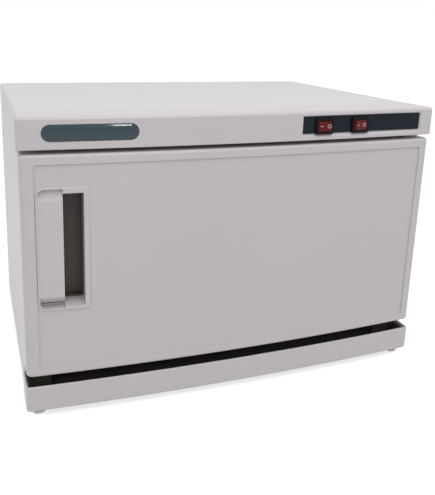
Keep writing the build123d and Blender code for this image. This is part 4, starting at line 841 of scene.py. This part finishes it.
class CABINET_OT_warm_box(CabinetOperator, bpy.types.Operator):
    """Finish the tank, the heat spreader, the heater, the rack and its rails"""

    bl_idname = "cabinet.warm_box"
    bl_label = "Warming chamber"

    def execute(self, context):
        tones = context.scene.cabinet_colours
        dress(brushed("tank_aluminium", tones.aluminium, ALONG_X), "inner_tank")
        dress(brushed("rail_aluminium", tones.aluminium, ALONG_Y, 0.26), "rack_rail_left",
              "rack_rail_right", "heat_spreader")
        dress(bright_wire("rack_chrome_wire", tones.chrome), "wire_rack")
        dress(heated_steel("heater_sheath"), "heating_element")
        return {"FINISHED"}


class CABINET_OT_lamp(CabinetOperator, bpy.types.Operator):
    """Finish the lamp tube, its holders and its slotted guard"""

    bl_idname = "cabinet.lamp"
    bl_label = "Lamp"

    def execute(self, context):
        tones, grain = context.scene.cabinet_colours, context.scene.cabinet_grain
        dress(quartz("lamp_quartz"), "uv_lamp")
        dress(moulded("holder_moulding", tones.nylon, grain, 0.45), "lamp_holder_left",
              "lamp_holder_right")
        dress(brushed("guard_steel", tones.zinc, ALONG_X, 0.24), "lamp_guard")
        return {"FINISHED"}


class CABINET_OT_insulation(CabinetOperator, bpy.types.Operator):
    """Finish the glass wool round the tank and the foam in the door"""

    bl_idname = "cabinet.insulation"
    bl_label = "Wool and foam"

    def execute(self, context):
        tones = context.scene.cabinet_colours
        dress(fibre("yellow_glass_wool", tones.wool), "tank_wool", "bottom_wool")
        dress(cellular("cream_foam", tones.foam), "door_foam")
        return {"FINISHED"}


class CABINET_OT_decks(CabinetOperator, bpy.types.Operator):
    """Finish the zinc plated decks and hinge pins, and the nylon rails and bushes"""

    bl_idname = "cabinet.decks"
    bl_label = "Decks and runners"

    def execute(self, context):
        tones, grain = context.scene.cabinet_colours, context.scene.cabinet_grain
        dress(zinc_plate("zinc_sheet", tones.zinc), "lower_deck", "upper_deck")
        dress(brushed("pin_steel", tones.zinc, ALONG_Z, 0.22), "hinge_pin_top",
              "hinge_pin_bottom")
        dress(moulded("white_nylon", tones.nylon, grain, 0.48), "tray_rail_left", "tray_rail_right",
              "hinge_bush_top", "hinge_bush_bottom")
        return {"FINISHED"}


class CABINET_OT_gear(CabinetOperator, bpy.types.Operator):
    """Finish the lamp's gear, the terminal block, the thermostat and the thermal fuse"""

    bl_idname = "cabinet.gear"
    bl_label = "Electrical gear"

    def execute(self, context):
        tones, grain = context.scene.cabinet_colours, context.scene.cabinet_grain
        dress(laminated("ballast_core"), "uv_ballast")
        dress(brushed("starter_can", tones.aluminium, (0.05, 1.0, 1.0), 0.28), "uv_starter")
        dress(moulded("socket_moulding", tones.nylon, grain, 0.5), "starter_socket", "thermal_fuse")
        dress(dark_plastic("block_plastic", tones.block, 0.5), "terminal_block")
        dress(zinc_plate("thermostat_can", scaled(tones.zinc, 1.1)), "thermostat")
        return {"FINISHED"}


class CABINET_OT_screws(CabinetOperator, bpy.types.Operator):
    """Put cross-recessed screws in the place of the plain ones"""

    bl_idname = "cabinet.screws"
    bl_label = "Screws"

    def execute(self, context):
        hardware = context.scene.cabinet_hardware
        steel = brushed("screw_steel", context.scene.cabinet_colours.zinc, (1.0, 0.2, 1.0), 0.24)
        for node in ("rear_screws", "door_screws", "fascia_screws"):
            replace_screws(node, steel, hardware, axis=1, head_high=True)
        replace_screws("foot_screws", steel, hardware, axis=2, head_high=False)
        replace_screws("hinge_screws", steel, hardware, axis=1, head_high=False, head=2.0 * MM,
                       countersunk=True)
        return {"FINISHED"}


class CABINET_OT_stage(CabinetOperator, bpy.types.Operator):
    """Set the floor, the soft lights, the room's even light and the camera"""

    bl_idname = "cabinet.stage"
    bl_label = "Stage"

    def execute(self, context):
        stage = context.scene.cabinet_stage
        context.scene.view_settings.view_transform = "Standard"
        self.add_floor(stage)
        softboxes = (
            ("overhead_softbox", stage.key_power, 1.2, (0.05, -0.70, 1.55), (0.0, 0.0, 0.20)),
            ("left_softbox", stage.fill_power, 1.4, (-1.7, -0.6, 0.80), (0.0, 0.0, 0.15)),
            ("small_lamp", stage.spark_power, 0.14, (0.14, -1.60, 1.05), (0.0, 0.0, 0.20)),
        )
        for softbox in softboxes:
            self.add_light(*softbox)
        self.set_room(stage)
        self.add_camera(stage)
        return {"FINISHED"}

    def add_floor(self, stage):
        """Wide flat floor under the feet."""
        mesh = bpy.data.meshes.new("floor")
        half = 12.0
        corners = [(-half, -half, 0), (half, -half, 0), (half, half, 0), (-half, half, 0)]
        mesh.from_pydata(corners, [], [(0, 1, 2, 3)])
        mesh.materials.append(backdrop("pale_floor", stage.floor, stage.glow))
        floor = bpy.data.objects.new("floor", mesh)
        bpy.context.scene.collection.objects.link(floor)

    def add_light(self, name, power, size, place, target):
        """Square softbox that faces a point."""
        lamp = bpy.data.lights.new(name, "AREA")
        lamp.energy = power
        lamp.size = size
        lamp.shape = "SQUARE"
        light = bpy.data.objects.new(name, lamp)
        light.location = place
        light.rotation_euler = (Vector(target) - Vector(place)).to_track_quat("-Z", "Y").to_euler()
        bpy.context.scene.collection.objects.link(light)

    def set_room(self, stage):
        """Even light from all round, which the camera and mirrors see as white."""
        world = bpy.data.worlds.new("room")
        world.use_nodes = True
        tree = world.node_tree
        tree.nodes.clear()
        path = tree.nodes.new("ShaderNodeLightPath")
        soft = tree.nodes.new("ShaderNodeBackground")
        soft.inputs["Strength"].default_value = stage.sky
        seen = tree.nodes.new("ShaderNodeBackground")
        seen.inputs["Strength"].default_value = 1.0
        for background in (soft, seen):
            background.inputs["Color"].default_value = (1.0, 1.0, 1.0, 1.0)
        mix = tree.nodes.new("ShaderNodeMixShader")
        rays = path.outputs["Is Camera Ray"]
        for name in ("Is Glossy Ray", "Is Transmission Ray"):
            both = tree.nodes.new("ShaderNodeMath")
            tree.links.new(rays, both.inputs[0])
            tree.links.new(path.outputs[name], both.inputs[1])
            rays = both.outputs[0]
        tree.links.new(rays, mix.inputs[0])
        tree.links.new(soft.outputs[0], mix.inputs[1])
        tree.links.new(seen.outputs[0], mix.inputs[2])
        output = tree.nodes.new("ShaderNodeOutputWorld")
        tree.links.new(mix.outputs[0], output.inputs[0])
        bpy.context.scene.world = world

    def add_camera(self, stage):
        """Camera at the photographed angle, as the cabinet's straight edges give it."""
        lens = bpy.data.cameras.new("camera")
        lens.lens = stage.focal
        lens.sensor_width = 36.0
        lens.shift_x = 0.0650
        lens.shift_y = -0.1510
        lens.clip_start = 0.02
        camera = bpy.data.objects.new("camera", lens)
        right = (0.94546082, -0.32486057, 0.02386325)
        up = (0.05384847, 0.22812881, 0.97214072)
        back = (-0.32125409, -0.91783596, 0.2331801)
        place = (-0.2590953, -0.7084073, 0.3837291)
        camera.matrix_world = Matrix([*zip(right, up, back, place), (0.0, 0.0, 0.0, 1.0)])
        bpy.context.scene.collection.objects.link(camera)
        bpy.context.scene.camera = camera


OPERATORS = (
    CABINET_OT_steel_skin, CABINET_OT_mouldings, CABINET_OT_grip, CABINET_OT_panels,
    CABINET_OT_switches, CABINET_OT_rubber, CABINET_OT_warm_box, CABINET_OT_lamp,
    CABINET_OT_insulation, CABINET_OT_decks, CABINET_OT_gear, CABINET_OT_screws, CABINET_OT_stage,
)
SETTINGS = {
    "cabinet_colours": CabinetColours,
    "cabinet_grain": CabinetGrain,
    "cabinet_hardware": CabinetHardware,
    "cabinet_stage": CabinetStage,
}


class CABINET_PT_panel(bpy.types.Panel):
    """Sidebar panel with every step and its settings"""

    bl_label = "Hot Towel Cabinet"
    bl_idname = "CABINET_PT_panel"
    bl_space_type = "VIEW_3D"
    bl_region_type = "UI"
    bl_category = "Cabinet"

    def draw(self, context):
        for operator in OPERATORS:
            self.layout.operator(operator.bl_idname)
        for name, group in SETTINGS.items():
            box = self.layout.box()
            for key in group.__annotations__:
                box.prop(getattr(context.scene, name), key)


def register():
    """Register the classes and hang the settings on the scene."""
    for group in (*SETTINGS.values(), *OPERATORS, CABINET_PT_panel):
        bpy.utils.register_class(group)
    for name, group in SETTINGS.items():
        setattr(bpy.types.Scene, name, PointerProperty(type=group))


def unregister():
    """Take the settings and classes away again."""
    for name in SETTINGS:
        delattr(bpy.types.Scene, name)
    for group in reversed((*SETTINGS.values(), *OPERATORS, CABINET_PT_panel)):
        bpy.utils.unregister_class(group)


def main():
    """Run every step in order."""
    register()
    for operator in OPERATORS:
        group, name = operator.bl_idname.split(".")
        getattr(getattr(bpy.ops, group), name)()


if __name__ == "__main__":
    main()
